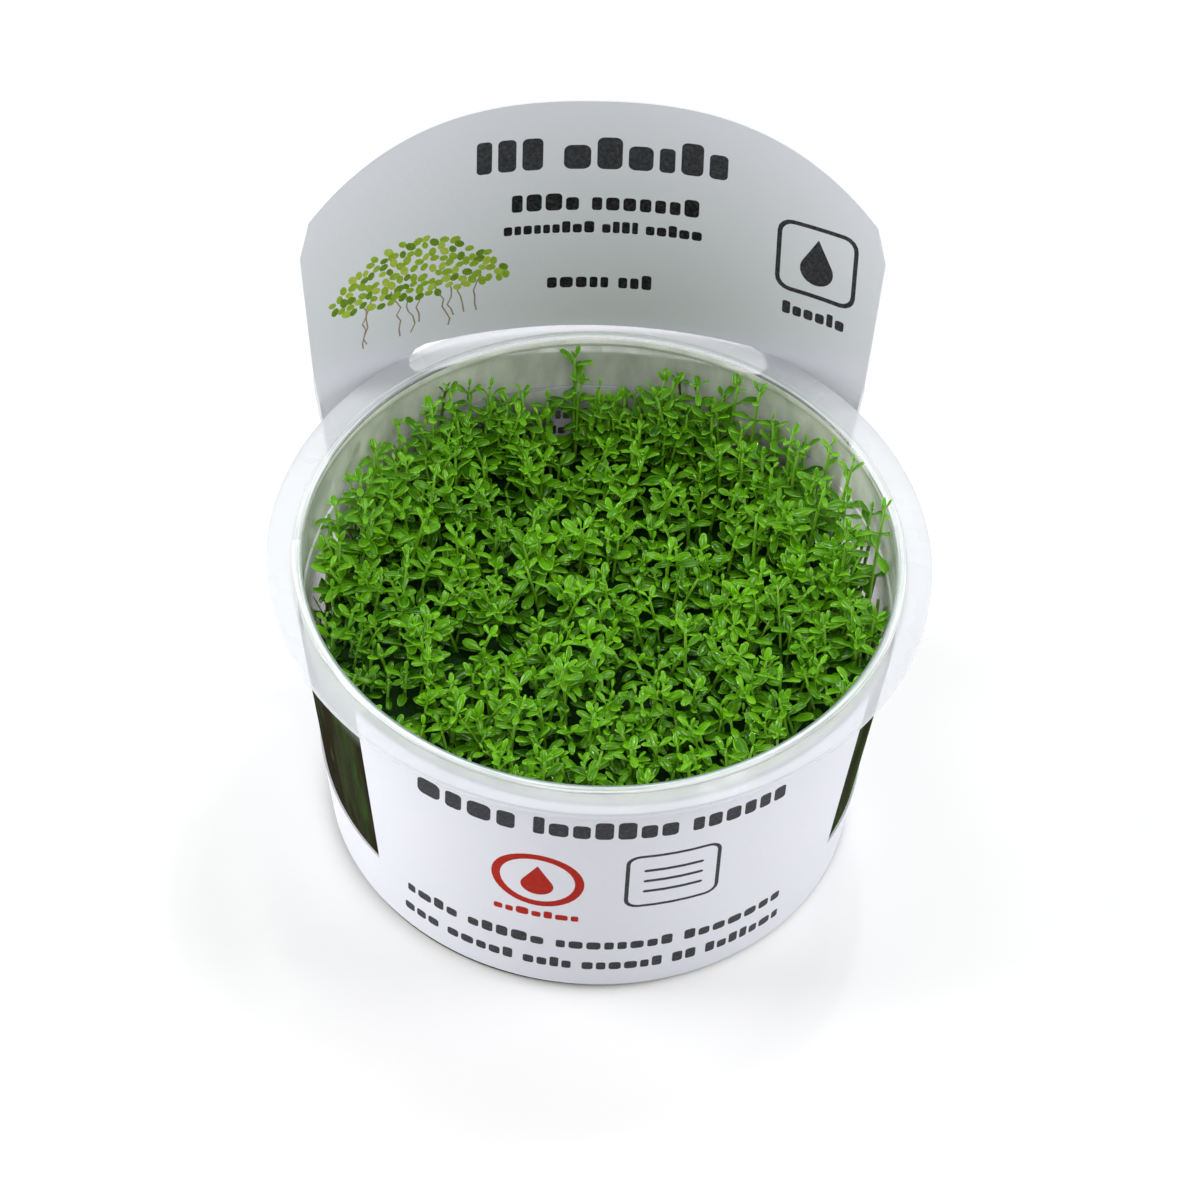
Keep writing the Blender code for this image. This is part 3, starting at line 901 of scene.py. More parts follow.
    def front_words(self) -> list[Mark]:
        """Return the rows of bars on the front panel with a red ring and a framed block between them."""
        rows = self.rows(Side.OUTER, (
            (Tone.DARK, (-30.6, -14.4, 45.2, 4.3), (4,)),
            (Tone.DARK, (-11.6, 28.4, 45.0, 3.5), (7, 6)),
            (Tone.DARK, (-32.6, 30.2, 12.7, 2.1), (4, 5, 8, 7)),
            (Tone.DARK, (-33.2, 30.4, 6.8, 2.1), (3, 5, 4, 6, 2, 7)),
        ))
        x, z = -10.6 * MM, 30.0 * MM
        rows += [
            Mark(oval(x, z, 14.4 * MM, 14.4 * MM, steps=40), Side.OUTER, Tone.RED),
            Mark(oval(x, z, 11.6 * MM, 11.6 * MM, steps=36), Side.OUTER, None),
            Mark(drop(x, z, 8.0 * MM), Side.OUTER, Tone.RED),
            *self.row(Side.OUTER, Tone.RED, x - 6.6 * MM, x + 6.6 * MM, 20.3 * MM, 1.5 * MM, (7,)),
        ]
        x, z = 10.2 * MM, 31.0 * MM
        rows += [
            Mark(block(x, z, 15.0 * MM, 14.6 * MM, 2.2 * MM), Side.OUTER, Tone.DARK),
            Mark(block(x, z, 13.7 * MM, 13.3 * MM, 1.6 * MM), Side.OUTER, None),
            *(Mark(bar(x, z + rise * MM, 9.4 * MM, 0.7 * MM), Side.OUTER, Tone.DARK)
              for rise in (2.9, 0.0, -2.9)),
        ]
        return rows


# Card sleeve


@dataclass
class Sleeve:
    """The card sleeve: a band round the cup with two side windows, and the tall tab at the rear.

    A point of the flat card is given by its angle from the middle of the tab and its height.
    """

    cup: Cup
    thickness: float = 0.40 * MM
    gap: float = 0.325 * MM
    turn: float = math.radians(4.3)
    lean: float = -0.0225
    foot: float = 1.25 * MM
    sill: float = 13.4 * MM
    window_power: float = 3.4
    flare_foot: float = 22.0 * MM
    cut: float = math.radians(-105.0)
    edge_left: float = math.radians(232.6)
    edge_right: float = math.radians(122.8)
    front_top: float = 52.0 * MM
    bend: float = 76.7 * MM
    flattening: float = 0.5
    tab_half: float = 45.6 * MM
    tab_taper: float = 0.068
    shoulder: float = 28.6 * MM
    apex: float = 44.6 * MM
    arch_power: float = 2.9
    corner: float = 4.0 * MM
    slot_half: float = 29.0 * MM
    slot_below: float = 4.6 * MM
    slot_above: float = 1.0 * MM
    step: float = math.radians(2.5)
    row: float = 2.4 * MM

    def hugging(self, height: float) -> float:
        """Return the radius of the card's middle surface where it hugs the cup."""
        return self.cup.outer(height) + self.gap + self.thickness / 2.0

    def bend_radius(self, height: float) -> float:
        """Return the radius of the card's rear at a height, from the cup's own to nearly flat above."""
        top = self.cup.flange_top
        if height >= top:
            return self.bend + self.flattening * (height - top)
        share = max(0.0, (height - self.flare_foot) / (top - self.flare_foot))
        ease = share * share * (3.0 - 2.0 * share)
        return 1.0 / ((1.0 - ease) / self.hugging(height) + ease / self.bend)

    def point(self, angle: float, height: float, offset: float) -> Vector:
        """Bend a point of the flat card round the cup.

        Args:
            angle: angle from the middle of the tab, over the viewer's right round to the cut at the left.
            height: height on the card.
            offset: distance outwards from the card's middle surface.

        Returns:
            The point in the object's frame.
        """
        front = self.edge_right - 1e-6 <= angle <= self.edge_left + 1e-6
        hugging = self.hugging(height)
        bend = hugging if front else self.bend_radius(height)
        height += self.lean * bend * math.sin(angle * hugging / bend)
        hugging = self.hugging(height)
        bend = hugging if front else self.bend_radius(height)
        swing = angle * hugging / bend
        reach = bend + offset
        spot = Vector((reach * math.sin(swing), hugging - bend + reach * math.cos(swing), height))
        return Matrix.Rotation(self.turn, 3, "Z") @ spot

    def tab_half_outline(self) -> list[Point2]:
        """List the right half of the tab's outline from the flange up to the apex."""
        top, shoulder_half = self.cup.flange_top, self.tab_half + self.tab_taper * self.shoulder
        points = []
        for step in range(12):
            rise = (self.shoulder - self.corner) * step / 11.0
            points.append((self.tab_half + self.tab_taper * rise, rise))
        for step in range(40):
            across = (shoulder_half - self.corner / 2.0) * math.cos(step / 40.0 * math.pi / 2.0)
            share = 1.0 - (across / shoulder_half) ** self.arch_power
            points.append((across, self.shoulder + (self.apex - self.shoulder) * share))
        points.append((0.0, self.apex))
        return [(arc / self.hugging(top + rise), top + rise) for arc, rise in points]

    def window_curve(self, front_edge: float, tab_edge: float) -> list[Point2]:
        """List a side window's lower edge, from its tip at the front panel up to the tab's side."""
        top = self.cup.flange_top
        points = []
        for step in range(40):
            across = 1.0 - (1.0 - step / 40.0) ** 1.5
            down = (1.0 - across**self.window_power) ** (1.0 / self.window_power)
            points.append((front_edge + (tab_edge - front_edge) * across, top - (top - self.sill) * down))
        return points

    def outline(self) -> list[Point2]:
        """List the flat card's outline counter-clockwise, cut open below the left window."""
        turns = round(TURN / self.step)
        foot = [(self.cut + TURN * step / turns, self.foot) for step in range(turns + 1)]
        rows = round((self.front_top - self.foot) / self.row)
        levels = [self.foot + (self.front_top - self.foot) * step / rows for step in range(1, rows)]
        over_sill = [height for height in levels if height > self.sill + 1.0 * MM]
        span = round((self.edge_left - self.edge_right) / self.step)
        width = self.edge_left - self.edge_right
        top = [(self.edge_left - width * step / span, self.front_top) for step in range(span + 1)]
        tab = self.tab_half_outline()
        left = self.window_curve(self.edge_left, TURN - tab[0][0])
        closing = [point for point in left if point[0] < self.cut + TURN - 1e-4]
        opening = [(angle - TURN, height) for angle, height in left if angle - TURN > self.cut + 1e-4]
        share = (self.edge_left - self.cut - TURN) / (self.edge_left - TURN + tab[0][0])
        down = (1.0 - share**self.window_power) ** (1.0 / self.window_power)
        cut_top = self.cup.flange_top - (self.cup.flange_top - self.sill) * down
        steps = round((cut_top - self.foot) / self.row)
        side = [self.foot + (cut_top - self.foot) * step / steps for step in range(1, steps)]
        return (
            foot
            + [(self.cut + TURN, height) for height in side + [cut_top]]
            + list(reversed(closing))
            + [(self.edge_left, height) for height in over_sill]
            + top
            + [(self.edge_right, height) for height in reversed(over_sill)]
            + self.window_curve(self.edge_right, tab[0][0])
            + tab
            + [(-angle, height) for angle, height in reversed(tab[:-1])]
            + list(reversed(opening))
            + [(self.cut, height) for height in reversed(side + [cut_top])]
        )

    def slot(self) -> list[Point2]:
        """List the outline of the slot that the flange passes through."""
        middle = self.cup.flange_top + (self.slot_above - self.slot_below) / 2.0
        slot = bar(0.0, middle, 2.0 * self.slot_half, self.slot_below + self.slot_above)
        run = [point for pair in zip(slot, slot[1:] + slot[:1]) for point in self.along(*pair)]
        return [(arc / self.hugging(height), height) for arc, height in run]

    @staticmethod
    def along(first: Point2, second: Point2) -> list[Point2]:
        """Return the first of two points and, where they are far apart, steps towards the second."""
        count = max(1, round(math.dist(first, second) / (2.5 * MM)))
        across, up = second[0] - first[0], second[1] - first[1]
        return [(first[0] + across * step / count, first[1] + up * step / count) for step in range(count)]

    def printed(self, mark: Mark) -> list[Point2]:
        """Return a mark's outline on the flat card, as angle and height."""
        points = []
        for first, second in zip(mark.outline, mark.outline[1:] + mark.outline[:1]):
            for arc, height in self.along(first, second):
                angle = arc / self.hugging(height)
                points.append((math.pi - angle if mark.side is Side.OUTER else angle, height))
        return points[::-1] if mark.side is Side.OUTER else points

    def flat_faces(self, marks: list[Mark]) -> tuple[list[Point2], list[list[int]], list[list[int]]]:
        """Mesh the flat card with every outline in it.

        Args:
            marks: the printed marks.

        Returns:
            The points, the triangles, and for each triangle the regions that hold it: 0 for the
            card, 1 for the slot and 2 onwards for the marks in order.
        """
        scale = self.hugging(self.sill)
        loops = [self.outline(), self.slot()] + [self.printed(mark) for mark in marks]
        flat = [Vector((angle * scale, height)) for loop in loops for angle, height in loop]
        regions, start = [], 0
        for loop in loops:
            regions.append(list(range(start, start + len(loop))))
            start += len(loop)
        columns = round(TURN / self.step)
        for level in range(1, 42):
            for column in range(columns):
                angle = self.cut + TURN * (column + 0.5 * (level % 2)) / columns
                flat.append(Vector((angle * scale, self.foot + self.row * level)))
        points, _, triangles, _, _, origins = delaunay_2d_cdt(flat, [], regions, 0, 1e-7)
        return [(point.x / scale, point.y) for point in points], triangles, origins

    def build(self, card: bpy.types.Material, inks: list[bpy.types.Material],
              marks: list[Mark]) -> bpy.types.Object:
        """Cut, print and bend the card.

        Args:
            card: the bare card's material.
            inks: one material for each ink, in the order of Tone.
            marks: the print.

        Returns:
            The sleeve.
        """
        points, triangles, origins = self.flat_faces(marks)
        bm = bmesh.new()
        layers = {side: bm.faces.layers.int.new(side.name) for side in Side}
        corners = [bm.verts.new(self.point(angle, height, -self.thickness / 2.0)) for angle, height in points]
        for triangle, regions in zip(triangles, origins):
            if 0 not in regions or 1 in regions:
                continue
            face = bm.faces.new([corners[index] for index in triangle])
            for region in sorted(regions)[1:]:
                mark = marks[region - 2]
                face[layers[mark.side]] = mark.tone.value if mark.tone else 0
        bmesh.ops.remove_doubles(bm, verts=bm.verts, dist=2e-6)
        bmesh.ops.delete(bm, geom=[corner for corner in bm.verts if not corner.link_faces], context="VERTS")
        bmesh.ops.recalc_face_normals(bm, faces=bm.faces)
        bmesh.ops.solidify(bm, geom=bm.faces[:], thickness=self.thickness)
        bmesh.ops.recalc_face_normals(bm, faces=bm.faces)
        for face in bm.faces:
            middle = face.calc_center_median()
            outward = face.normal.x * middle.x + face.normal.y * middle.y
            side = Side.OUTER if outward > 0.0 else Side.INNER
            face.material_index = face[layers[side]] if len(face.verts) == 3 else 0
        piece = add_piece("printed_sleeve", bm, card, *inks, smooth=False)
        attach(piece, "root")
        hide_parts("card_sleeve")
        return piece


# Plants


@dataclass(frozen=True)
class Template:
    """A small shape that is repeated many times: points, faces of three and four corners, and leaf data."""

    points: np.ndarray
    triangles: np.ndarray
    quads: np.ndarray
    leaf: np.ndarray

    @classmethod
    def of(cls, bm: bmesh.types.BMesh, across: float, along: float) -> "Template":
        """Take a template from a bmesh, which is used up.

        Args:
            bm: the small shape.
            across: half width that counts as 1 across the leaf, or 0 for none.
            along: length that counts as 1 along the leaf, or 0 for none.

        Returns:
            The template.
        """
        bm.verts.index_update()
        points = np.array([corner.co[:] for corner in bm.verts])
        rings = [[corner.index for corner in face.verts] for face in bm.faces]
        triangles, quads = (np.array([ring for ring in rings if len(ring) == size], int).reshape(-1, size)
                            for size in (3, 4))
        leaf = np.zeros((len(points), 2))
        if along:
            leaf[:, 1] = np.clip(points[:, 1] / along, 0.0, 1.0)
        if across:
            leaf[:, 0] = np.array([corner[bm.verts.layers.float["across"]] for corner in bm.verts])
        bm.free()
        return cls(points, triangles, quads, leaf)


@dataclass(frozen=True)
class LeafForm:
    """Shape of one leaf of length 1: spoon-shaped, arched along and cupped across."""

    width: float = 0.36
    arch: float = 0.18
    cupping: float = 0.14
    thickness: float = 0.06

    def half_width(self, along: float) -> float:
        """Return the half width at a share of the length: a narrow foot that widens to a round end."""
        rise = min(1.0, max(0.0, (along - 0.08) / 0.48))
        foot = 0.16 + 0.84 * rise * rise * (3.0 - 2.0 * rise)
        end = 1.0 if along < 0.58 else math.sqrt(max(0.0, 1.0 - ((along - 0.58) / 0.44) ** 2))
        return self.width / 2.0 * foot * end

    def template(self) -> Template:
        """Shape the leaf from a small grid and give it its thickness."""
        bm = bmesh.new()
        across_layer = bm.verts.layers.float.new("across")
        bmesh.ops.create_grid(bm, x_segments=2, y_segments=5, size=0.5)
        for corner in bm.verts:
            across = corner.co.x * 2.0
            share = corner.co.y + 0.5
            along = 1.0 - (1.0 - share) ** 1.25
            if along > 0.99 and abs(across) > 0.5:
                along = 0.955
            half = self.half_width(min(along, 0.955))
            lift = self.arch * (along - along * along) * 1.6 + self.cupping * across * across * half
            corner.co = (across * half, along, lift)
            corner[across_layer] = across
        bmesh.ops.solidify(bm, geom=bm.faces[:], thickness=self.thickness)
        bmesh.ops.recalc_face_normals(bm, faces=bm.faces)
        return Template.of(bm, self.width / 2.0, 1.0)


def stem_template(sides: int = 5, rings: int = 5) -> Template:
    """Return a closed tube of radius 1 from height 0 to 1, with a round of points at each ring."""
    bm = bmesh.new()
    bmesh.ops.create_cone(bm, cap_ends=True, cap_tris=True, segments=sides,
                          radius1=1.0, radius2=1.0, depth=1.0)
    bmesh.ops.translate(bm, verts=bm.verts, vec=(0, 0, 0.5))
    for ring in range(1, rings):
        bmesh.ops.bisect_plane(bm, geom=bm.verts[:] + bm.edges[:] + bm.faces[:],
                               plane_co=(0, 0, ring / rings), plane_no=(0, 0, 1))
    return Template.of(bm, 0.0, 0.0)


class Batch:
    """Copies of one template gathered for one piece."""

    def __init__(self, template: Template) -> None:
        """Start with no copies."""
        self.template = template
        self.points: list[np.ndarray] = []
        self.leaf: list[np.ndarray] = []

    def add(self, points: np.ndarray, tone: float) -> None:
        """Add one copy by its placed points and its tone from 0 to 1."""
        self.points.append(points)
        self.leaf.append(np.column_stack((self.template.leaf, np.full(len(points), tone))))


def joined(name: str, batches: list[Batch], *materials: bpy.types.Material) -> bpy.types.Object:
    """Join every copy of several batches into one piece.

    Args:
        name: name of the piece.
        batches: the copies, one batch for each material in order.
        materials: one material for each batch.

    Returns:
        The piece, with a leaf attribute that holds across, along and tone for each point.
    """
    points, leaf, faces, slots = [], [], [], []
    start = 0
    for slot, batch in enumerate(batches):
        count, size = len(batch.points), len(batch.template.points)
        if not count:
            continue
        shifts = start + size * np.arange(count)
        for shape in (batch.template.triangles, batch.template.quads):
            if len(shape):
                made = (shape[None] + shifts[:, None, None]).reshape(-1, shape.shape[1]).tolist()
                faces += made
                slots += [slot] * len(made)
        points += batch.points
        leaf += batch.leaf
        start += size * count
    mesh = bpy.data.meshes.new(name)
    mesh.from_pydata(np.concatenate(points).tolist(), [], faces)
    mesh.polygons.foreach_set("material_index", slots)
    attribute = mesh.attributes.new("leaf", "FLOAT_VECTOR", "POINT")
    attribute.data.foreach_set("vector", np.concatenate(leaf).astype(np.float32).ravel())
    return add_piece(name, mesh, *materials)


# Length in millimetres, rise in degrees and gap to the next pair in millimetres, from the tip down
LEAF_LENGTHS = (1.8, 3.0, 3.8, 4.2, 4.3, 4.2, 4.1, 4.0)
LEAF_RISES = (52, 28, 14, 7, 2, -2, -4, -6)
STEM_GAPS = (1.1, 2.5, 3.2, 3.5, 3.6, 3.6, 3.6, 3.6)


@dataclass
class Sprig:
    """One plantlet: a thin stem with pairs of leaves, each pair turned a quarter from the one below."""

    foot: Vector
    tip: Vector
    heading: float
    pairs: int = 5
    size: float = 1.0
    tone: float = 0.5
    stem_radius: float = 0.30 * MM
    airiness: float = 1.0

    def spine(self, share: np.ndarray) -> np.ndarray:
        """Return points of the stem's curve, which leaves its foot upright and bends to its tip."""
        foot, tip = np.array(self.foot), np.array(self.tip)
        knee = foot * (0.75, 0.75, 0.5) + tip * (0.25, 0.25, 0.5)
        share = np.asarray(share)[:, None]
        return foot * (1 - share) ** 2 + 2 * knee * share * (1 - share) + tip * share**2

    def stem(self, template: Template) -> np.ndarray:
        """Bend the stem's tube along its curve and taper it."""
        share = template.points[:, 2]
        radius = self.stem_radius * (1.15 - 0.45 * share)
        middle = self.spine(share)
        middle[:, 0] += template.points[:, 0] * radius
        middle[:, 1] += template.points[:, 1] * radius
        return middle

    def leaves(self, rng: random.Random, forms: list[Template]) -> list[tuple[int, np.ndarray, float]]:
        """Place the pairs of leaves, largest below and a small upright pair at the tip.

        Args:
            rng: the source of chance.
            forms: the leaf templates to choose from.

        Returns:
            For each leaf the index of its form, its points and its tone.
        """
        rise_of_stem = (self.tip - self.foot).length
        placed = []
        below_tip = 0.0
        for pair in range(self.pairs):
            length = LEAF_LENGTHS[pair] * self.size * rng.uniform(0.85, 1.15) * MM
            rise = math.radians(LEAF_RISES[pair] + rng.gauss(0.0, 11.0))
            share = max(0.0, 1.0 - below_tip / rise_of_stem)
            spot = self.spine(np.array([share]))[0]
            for half in (0, 1):
                swing = self.heading + math.pi * half + math.pi / 2.0 * pair + rng.uniform(-0.28, 0.28)
                form = rng.randrange(len(forms))
                turn = (Matrix.Rotation(swing - math.pi / 2.0, 3, "Z")
                        @ Matrix.Rotation(rise + rng.uniform(-0.14, 0.14), 3, "X")
                        @ Matrix.Rotation(rng.uniform(-0.3, 0.3), 3, "Y"))
                shape = forms[form].points * np.array((rng.uniform(0.88, 1.15), 1.0, 1.0)) * length
                points = shape @ np.array(turn.transposed()) + spot
                points += np.array((math.cos(swing), math.sin(swing), 0.0)) * self.stem_radius * 0.5
                tone = self.tone * 0.45 + 0.55 * max(0.0, 1.0 - pair / 3.2) + rng.uniform(-0.12, 0.12)
                placed.append((form, points, min(1.0, max(0.0, tone))))
            below_tip += STEM_GAPS[pair] * (self.size * self.airiness * rng.uniform(0.8, 1.25) * MM)
        return placed


@dataclass
class Cushion:
    """The cushion of plantlets that fills the cup, one piece for each clump of the frame."""

    cup: Cup
    spacing: float = 3.5 * MM
    reach: float = 43.0 * MM
    crown: float = 44.0 * MM
    wall_rise: tuple[tuple[float, float], ...] = (
        (-180.0, -1.0), (-150.0, -6.0), (-110.0, -2.0), (-50.0, 0.0), (0.0, 2.5), (25.0, 6.0),
        (60.0, 5.5), (90.0, 3.5), (120.0, 5.5), (150.0, 7.5), (168.0, 4.5), (180.0, -1.0),
    )
    foot: float = 29.0 * MM
    wall_foot: float = 12.0 * MM
    wall_ring: float = 39.0 * MM
    clearance: float = 0.25 * MM
    seed: int = 11
    tall_tips: tuple[tuple[float, float, float], ...] = (
        (-41.7, 8.3, 41.4), (-41.9, 7.2, 48.2), (-40.9, 11.5, 51.8), (-39.0, 17.0, 51.5),
        (-35.4, 23.6, 51.6), (-32.2, 27.8, 52.8), (-27.1, 30.1, 54.5), (-24.5, 34.7, 53.8),
        (-21.6, 36.6, 52.7), (-18.3, 36.1, 53.4), (-13.3, 37.2, 51.5), (-9.3, 38.4, 48.6),
        (-5.3, 42.2, 54.7), (-1.2, 39.5, 51.0), (2.8, 39.4, 48.8), (6.6, 38.9, 51.4),
        (8.9, 39.5, 53.4), (10.3, 39.2, 53.7), (14.2, 37.9, 54.1), (20.4, 37.3, 55.2),
        (23.7, 35.3, 56.2), (29.0, 28.3, 54.3), (30.0, 25.7, 53.5), (34.8, 24.4, 56.2),
        (38.2, 18.6, 58.9), (39.8, 7.6, 49.7), (43.0, 8.0, 61.0),
    )

    def canopy(self, x: float, y: float) -> float:
        """Return the height of the tips over a point: lumpy, and higher or lower by bearing at the wall."""
        lumps = noise.noise(Vector((x, y, 0.3)) / (11.0 * MM)) * 2.4
        lumps += noise.noise(Vector((x, y, 7.7)) / (4.5 * MM)) * 1.5
        bearings, rises = zip(*self.wall_rise)
        near_wall = max(0.0, (math.hypot(x, y) / self.reach - 0.62) / 0.38)
        rise = float(np.interp(math.degrees(math.atan2(y, x)), bearings, rises))
        return self.crown + (lumps + near_wall * rise) * MM

    def spots(self, rng: random.Random) -> list[Point2]:
        """List the plantlets' places: a staggered grid, each moved a little at random."""
        spots = []
        rows = int(self.reach / (self.spacing * 0.866)) + 1
        for row in range(-rows, rows + 1):
            for column in range(-rows, rows + 1):
                x = (column + 0.5 * (row % 2)) * self.spacing + rng.uniform(-0.42, 0.42) * self.spacing
                y = row * self.spacing * 0.866 + rng.uniform(-0.42, 0.42) * self.spacing
                if math.hypot(x, y) < self.reach:
                    spots.append((x, y))
        return spots

    def sprigs(self) -> list[Sprig]:
        """Grow every plantlet of the cushion."""
        rng = random.Random(self.seed)
        grown = []
        for x, y in self.spots(rng):
            at_wall = math.hypot(x, y) > self.wall_ring
            top = self.canopy(x, y) + rng.uniform(-4.8, 2.0) * MM
            if rng.random() < 0.16:
                top += rng.uniform(1.5, 4.5) * MM
            lean = Vector((rng.gauss(0.0, 2.6), rng.gauss(-0.6, 2.6), 0.0)) * MM
            foot = Vector((x, y, self.wall_foot if at_wall else self.foot))
            if at_wall:
                foot.xy = Vector((x, y)) * (40.6 * MM / math.hypot(x, y))
            grown.append(Sprig(
                foot=foot,
                tip=Vector((x, y, top)) + lean,
                heading=rng.uniform(0.0, TURN),
                pairs=8 if at_wall else rng.choice((4, 5, 6)),
                size=rng.uniform(0.74, 1.08),
                tone=rng.uniform(0.0, 1.0),
                stem_radius=rng.uniform(0.24, 0.34) * MM,
            ))
        return grown + self.tall_sprigs(rng)

    def tall_sprigs(self, rng: random.Random) -> list[Sprig]:
        """Return the plantlets that stand out above the cushion along the rear of the wall."""
        grown = []
        for x, y, z in self.tall_tips:
            tip = Vector((x, y, z - 1.3)) * MM
            foot = Vector((x * rng.uniform(0.90, 0.97), y * rng.uniform(0.90, 0.97), 30.0)) * MM
            grown.append(Sprig(foot, tip, rng.uniform(0.0, TURN), 6, rng.uniform(0.80, 1.05), 0.7,
                               rng.uniform(0.28, 0.36) * MM, rng.uniform(1.1, 1.7)))
            swing, share = rng.uniform(-0.06, 0.06), rng.uniform(0.86, 0.97)
            drop_by = rng.uniform(2.5, 6.0) * MM
            tip = Vector((tip.x * share - tip.y * swing, tip.y * share + tip.x * swing, tip.z - drop_by))
            grown.append(Sprig(foot * share, tip, rng.uniform(0.0, TURN), 6, rng.uniform(0.80, 1.05), 0.4,
                               rng.uniform(0.26, 0.34) * MM, rng.uniform(0.9, 1.3)))
        return grown

    def keep_inside(self, points: np.ndarray) -> np.ndarray:
        """Press points that would pass through the cup's wall back against its inner side."""
        height = points[:, 2]
        limit = self.cup.outer(height) - self.cup.wall - self.clearance
        lip = self.cup.flange_top - self.cup.lip_depth - 1.2 * MM
        limit = np.where(height > lip, self.cup.mouth_radius - self.clearance, limit)
        radius = np.hypot(points[:, 0], points[:, 1])
        pressed = (radius > limit) & (height < self.cup.flange_top + 1.0 * MM)
        share = np.where(pressed, limit / np.maximum(radius, 1e-9), 1.0)
        kept = points.copy()
        kept[:, 0] *= share
        kept[:, 1] *= share
        return kept

    def build(self, leaf: bpy.types.Material, stem: bpy.types.Material) -> list[bpy.types.Object]:
        """Grow the plantlets and join them into one piece for each clump of the frame.

        Args:
            leaf: the leaves' material.
            stem: the stems' material.

        Returns:
            The pieces.
        """
        rng = random.Random(self.seed + 1)
        shapes = (LeafForm(), LeafForm(0.31, 0.30, 0.26), LeafForm(0.40, 0.05, 0.08))
        forms = [shape.template() for shape in shapes]
        tube = stem_template()
        clumps = sorted(name for name in frame_nodes() if name.startswith("plant_clump"))
        centres = [clump_centre(name) for name in clumps]
        plots = {name: [Batch(form) for form in forms] + [Batch(tube)] for name in clumps}
        for sprig in self.sprigs():
            where = np.array(sprig.tip[:2])
            name = clumps[int(np.argmin([np.hypot(*(where - centre)) for centre in centres]))]
            plot = plots[name]
            plot[-1].add(self.keep_inside(sprig.stem(tube)), sprig.tone)
            for form, points, tone in sprig.leaves(rng, forms):
                plot[form].add(self.keep_inside(points), tone)
        pieces = []
        for name, plot in plots.items():
            piece = joined(name.replace("plant_clump", "plantlets"), plot, leaf, leaf, leaf, stem)
            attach(piece, "root")
            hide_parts(name)
            pieces.append(piece)
        return pieces


def frame_nodes() -> dict[str, bpy.types.Object]:
    """Return the frame's nodes by name."""
    return {thing.name: thing for thing in bpy.data.objects if thing.type == "MESH"}


def clump_centre(name: str) -> np.ndarray:
    """Return the middle of a clump of the frame, seen from above."""
    low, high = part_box(name)
    return np.array(((low[0] + high[0]) / 2.0, (low[1] + high[1]) / 2.0))


@dataclass
class Mat:
    """The matted stems and roots under the cushion, a lumpy body from the gel to below the leaves."""

    cup: Cup
    foot: float = 11.0 * MM
    top: float = 33.5 * MM
    clearance: float = 0.8 * MM
    segments: int = 120
    rows: int = 26

    def build(self, undergrowth: bpy.types.Material) -> bpy.types.Object:
        """Turn the body and push its surface in and out by noise."""
        heights = [self.foot + (self.top - self.foot) * step / self.rows for step in range(self.rows + 1)]
        side = [(self.cup.inner(height) - self.clearance, height) for height in heights]
        rim = side[-1][0]
        crown = [(rim * (1.0 - step / 24.0), self.top + 1.5 * MM * min(1.0, step / 3.0))
                 for step in range(1, 25)]
        bm = turned([(0.0, self.foot)] + side + crown, self.segments)
        for corner in bm.verts:
            spot = corner.co.copy()
            upright = Vector((spot.x, spot.y, spot.z * 0.25))
            push = noise.noise(upright / (3.2 * MM)) * 0.9 + noise.noise(upright / (1.3 * MM)) * 0.5 - 0.9
            if spot.z > self.foot + 0.1 * MM:
                lump = 1.6 * noise.noise(spot / (4.0 * MM)) if spot.z > self.top - 0.2 * MM else 0.0
                flat = Vector((spot.x, spot.y, 0.0))
                corner.co += flat.normalized() * push * MM * min(1.0, flat.length / (10.0 * MM))
                corner.co.z += lump * MM
        piece = add_piece("root_mat", bm, undergrowth)
        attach(piece, "root")
        return piece


@dataclass
class WallStems:
    """Long stems and pale roots that climb between the mat and the cup's wall."""

    cup: Cup
    count: int = 420
    seed: int = 31

    def build(self, stem: bpy.types.Material) -> bpy.types.Object:
        """Bend every stem along the wall and join them."""
        rng = random.Random(self.seed)
        batch = Batch(stem_template(5, 6))
        shape = batch.template.points
        for _ in range(self.count):
            swing, low = rng.uniform(0.0, TURN), rng.uniform(10.8, 24.0) * MM
            high = min(rng.uniform(low + 10.0 * MM, 44.0 * MM), 43.0 * MM)
            drift, sway = rng.gauss(0.0, 0.05), rng.uniform(0.0, TURN)
            radius = rng.uniform(0.13, 0.34) * MM
            depth = rng.uniform(0.15, 1.5) * MM
            share = shape[:, 2]
            height = low + (high - low) * share
            angle = swing + drift * share + 0.018 * np.sin(sway + 5.0 * share)
            depth = depth * (1.0 + 0.6 * np.sin(sway + 7.0 * share))
            reach = self.cup.outer(height) - self.cup.wall - radius - depth
            batch.add(np.column_stack((reach * np.cos(angle) + shape[:, 0] * radius,
                                       reach * np.sin(angle) + shape[:, 1] * radius, height)), rng.random())
        piece = joined("wall_stems", [batch], stem)
        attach(piece, "root")
        return piece


# Studio


@dataclass(frozen=True)
class Softbox:
    """A square soft light that faces the cup.

    Args:
        name: its name.
        place: where it stands, in metres.
        size: its side in metres.
        power: its power in watts.
        colour: its colour.
    """

    name: str
    place: tuple[float, float, float]
    size: float
    power: float
    colour: Colour = (1.0, 1.0, 1.0)

    def build(self) -> None:
        """Hang the light and aim it at the plants."""
        data = bpy.data.lights.new(self.name, "AREA")
        data.size = self.size
        data.energy = self.power
        data.color = self.colour
        lamp = bpy.data.objects.new(self.name, data)
        lamp.location = self.place
        lamp.rotation_euler = (Vector((0, 0, 0.04)) - Vector(self.place)).to_track_quat("-Z", "Y").to_euler()
        bpy.context.scene.collection.objects.link(lamp)


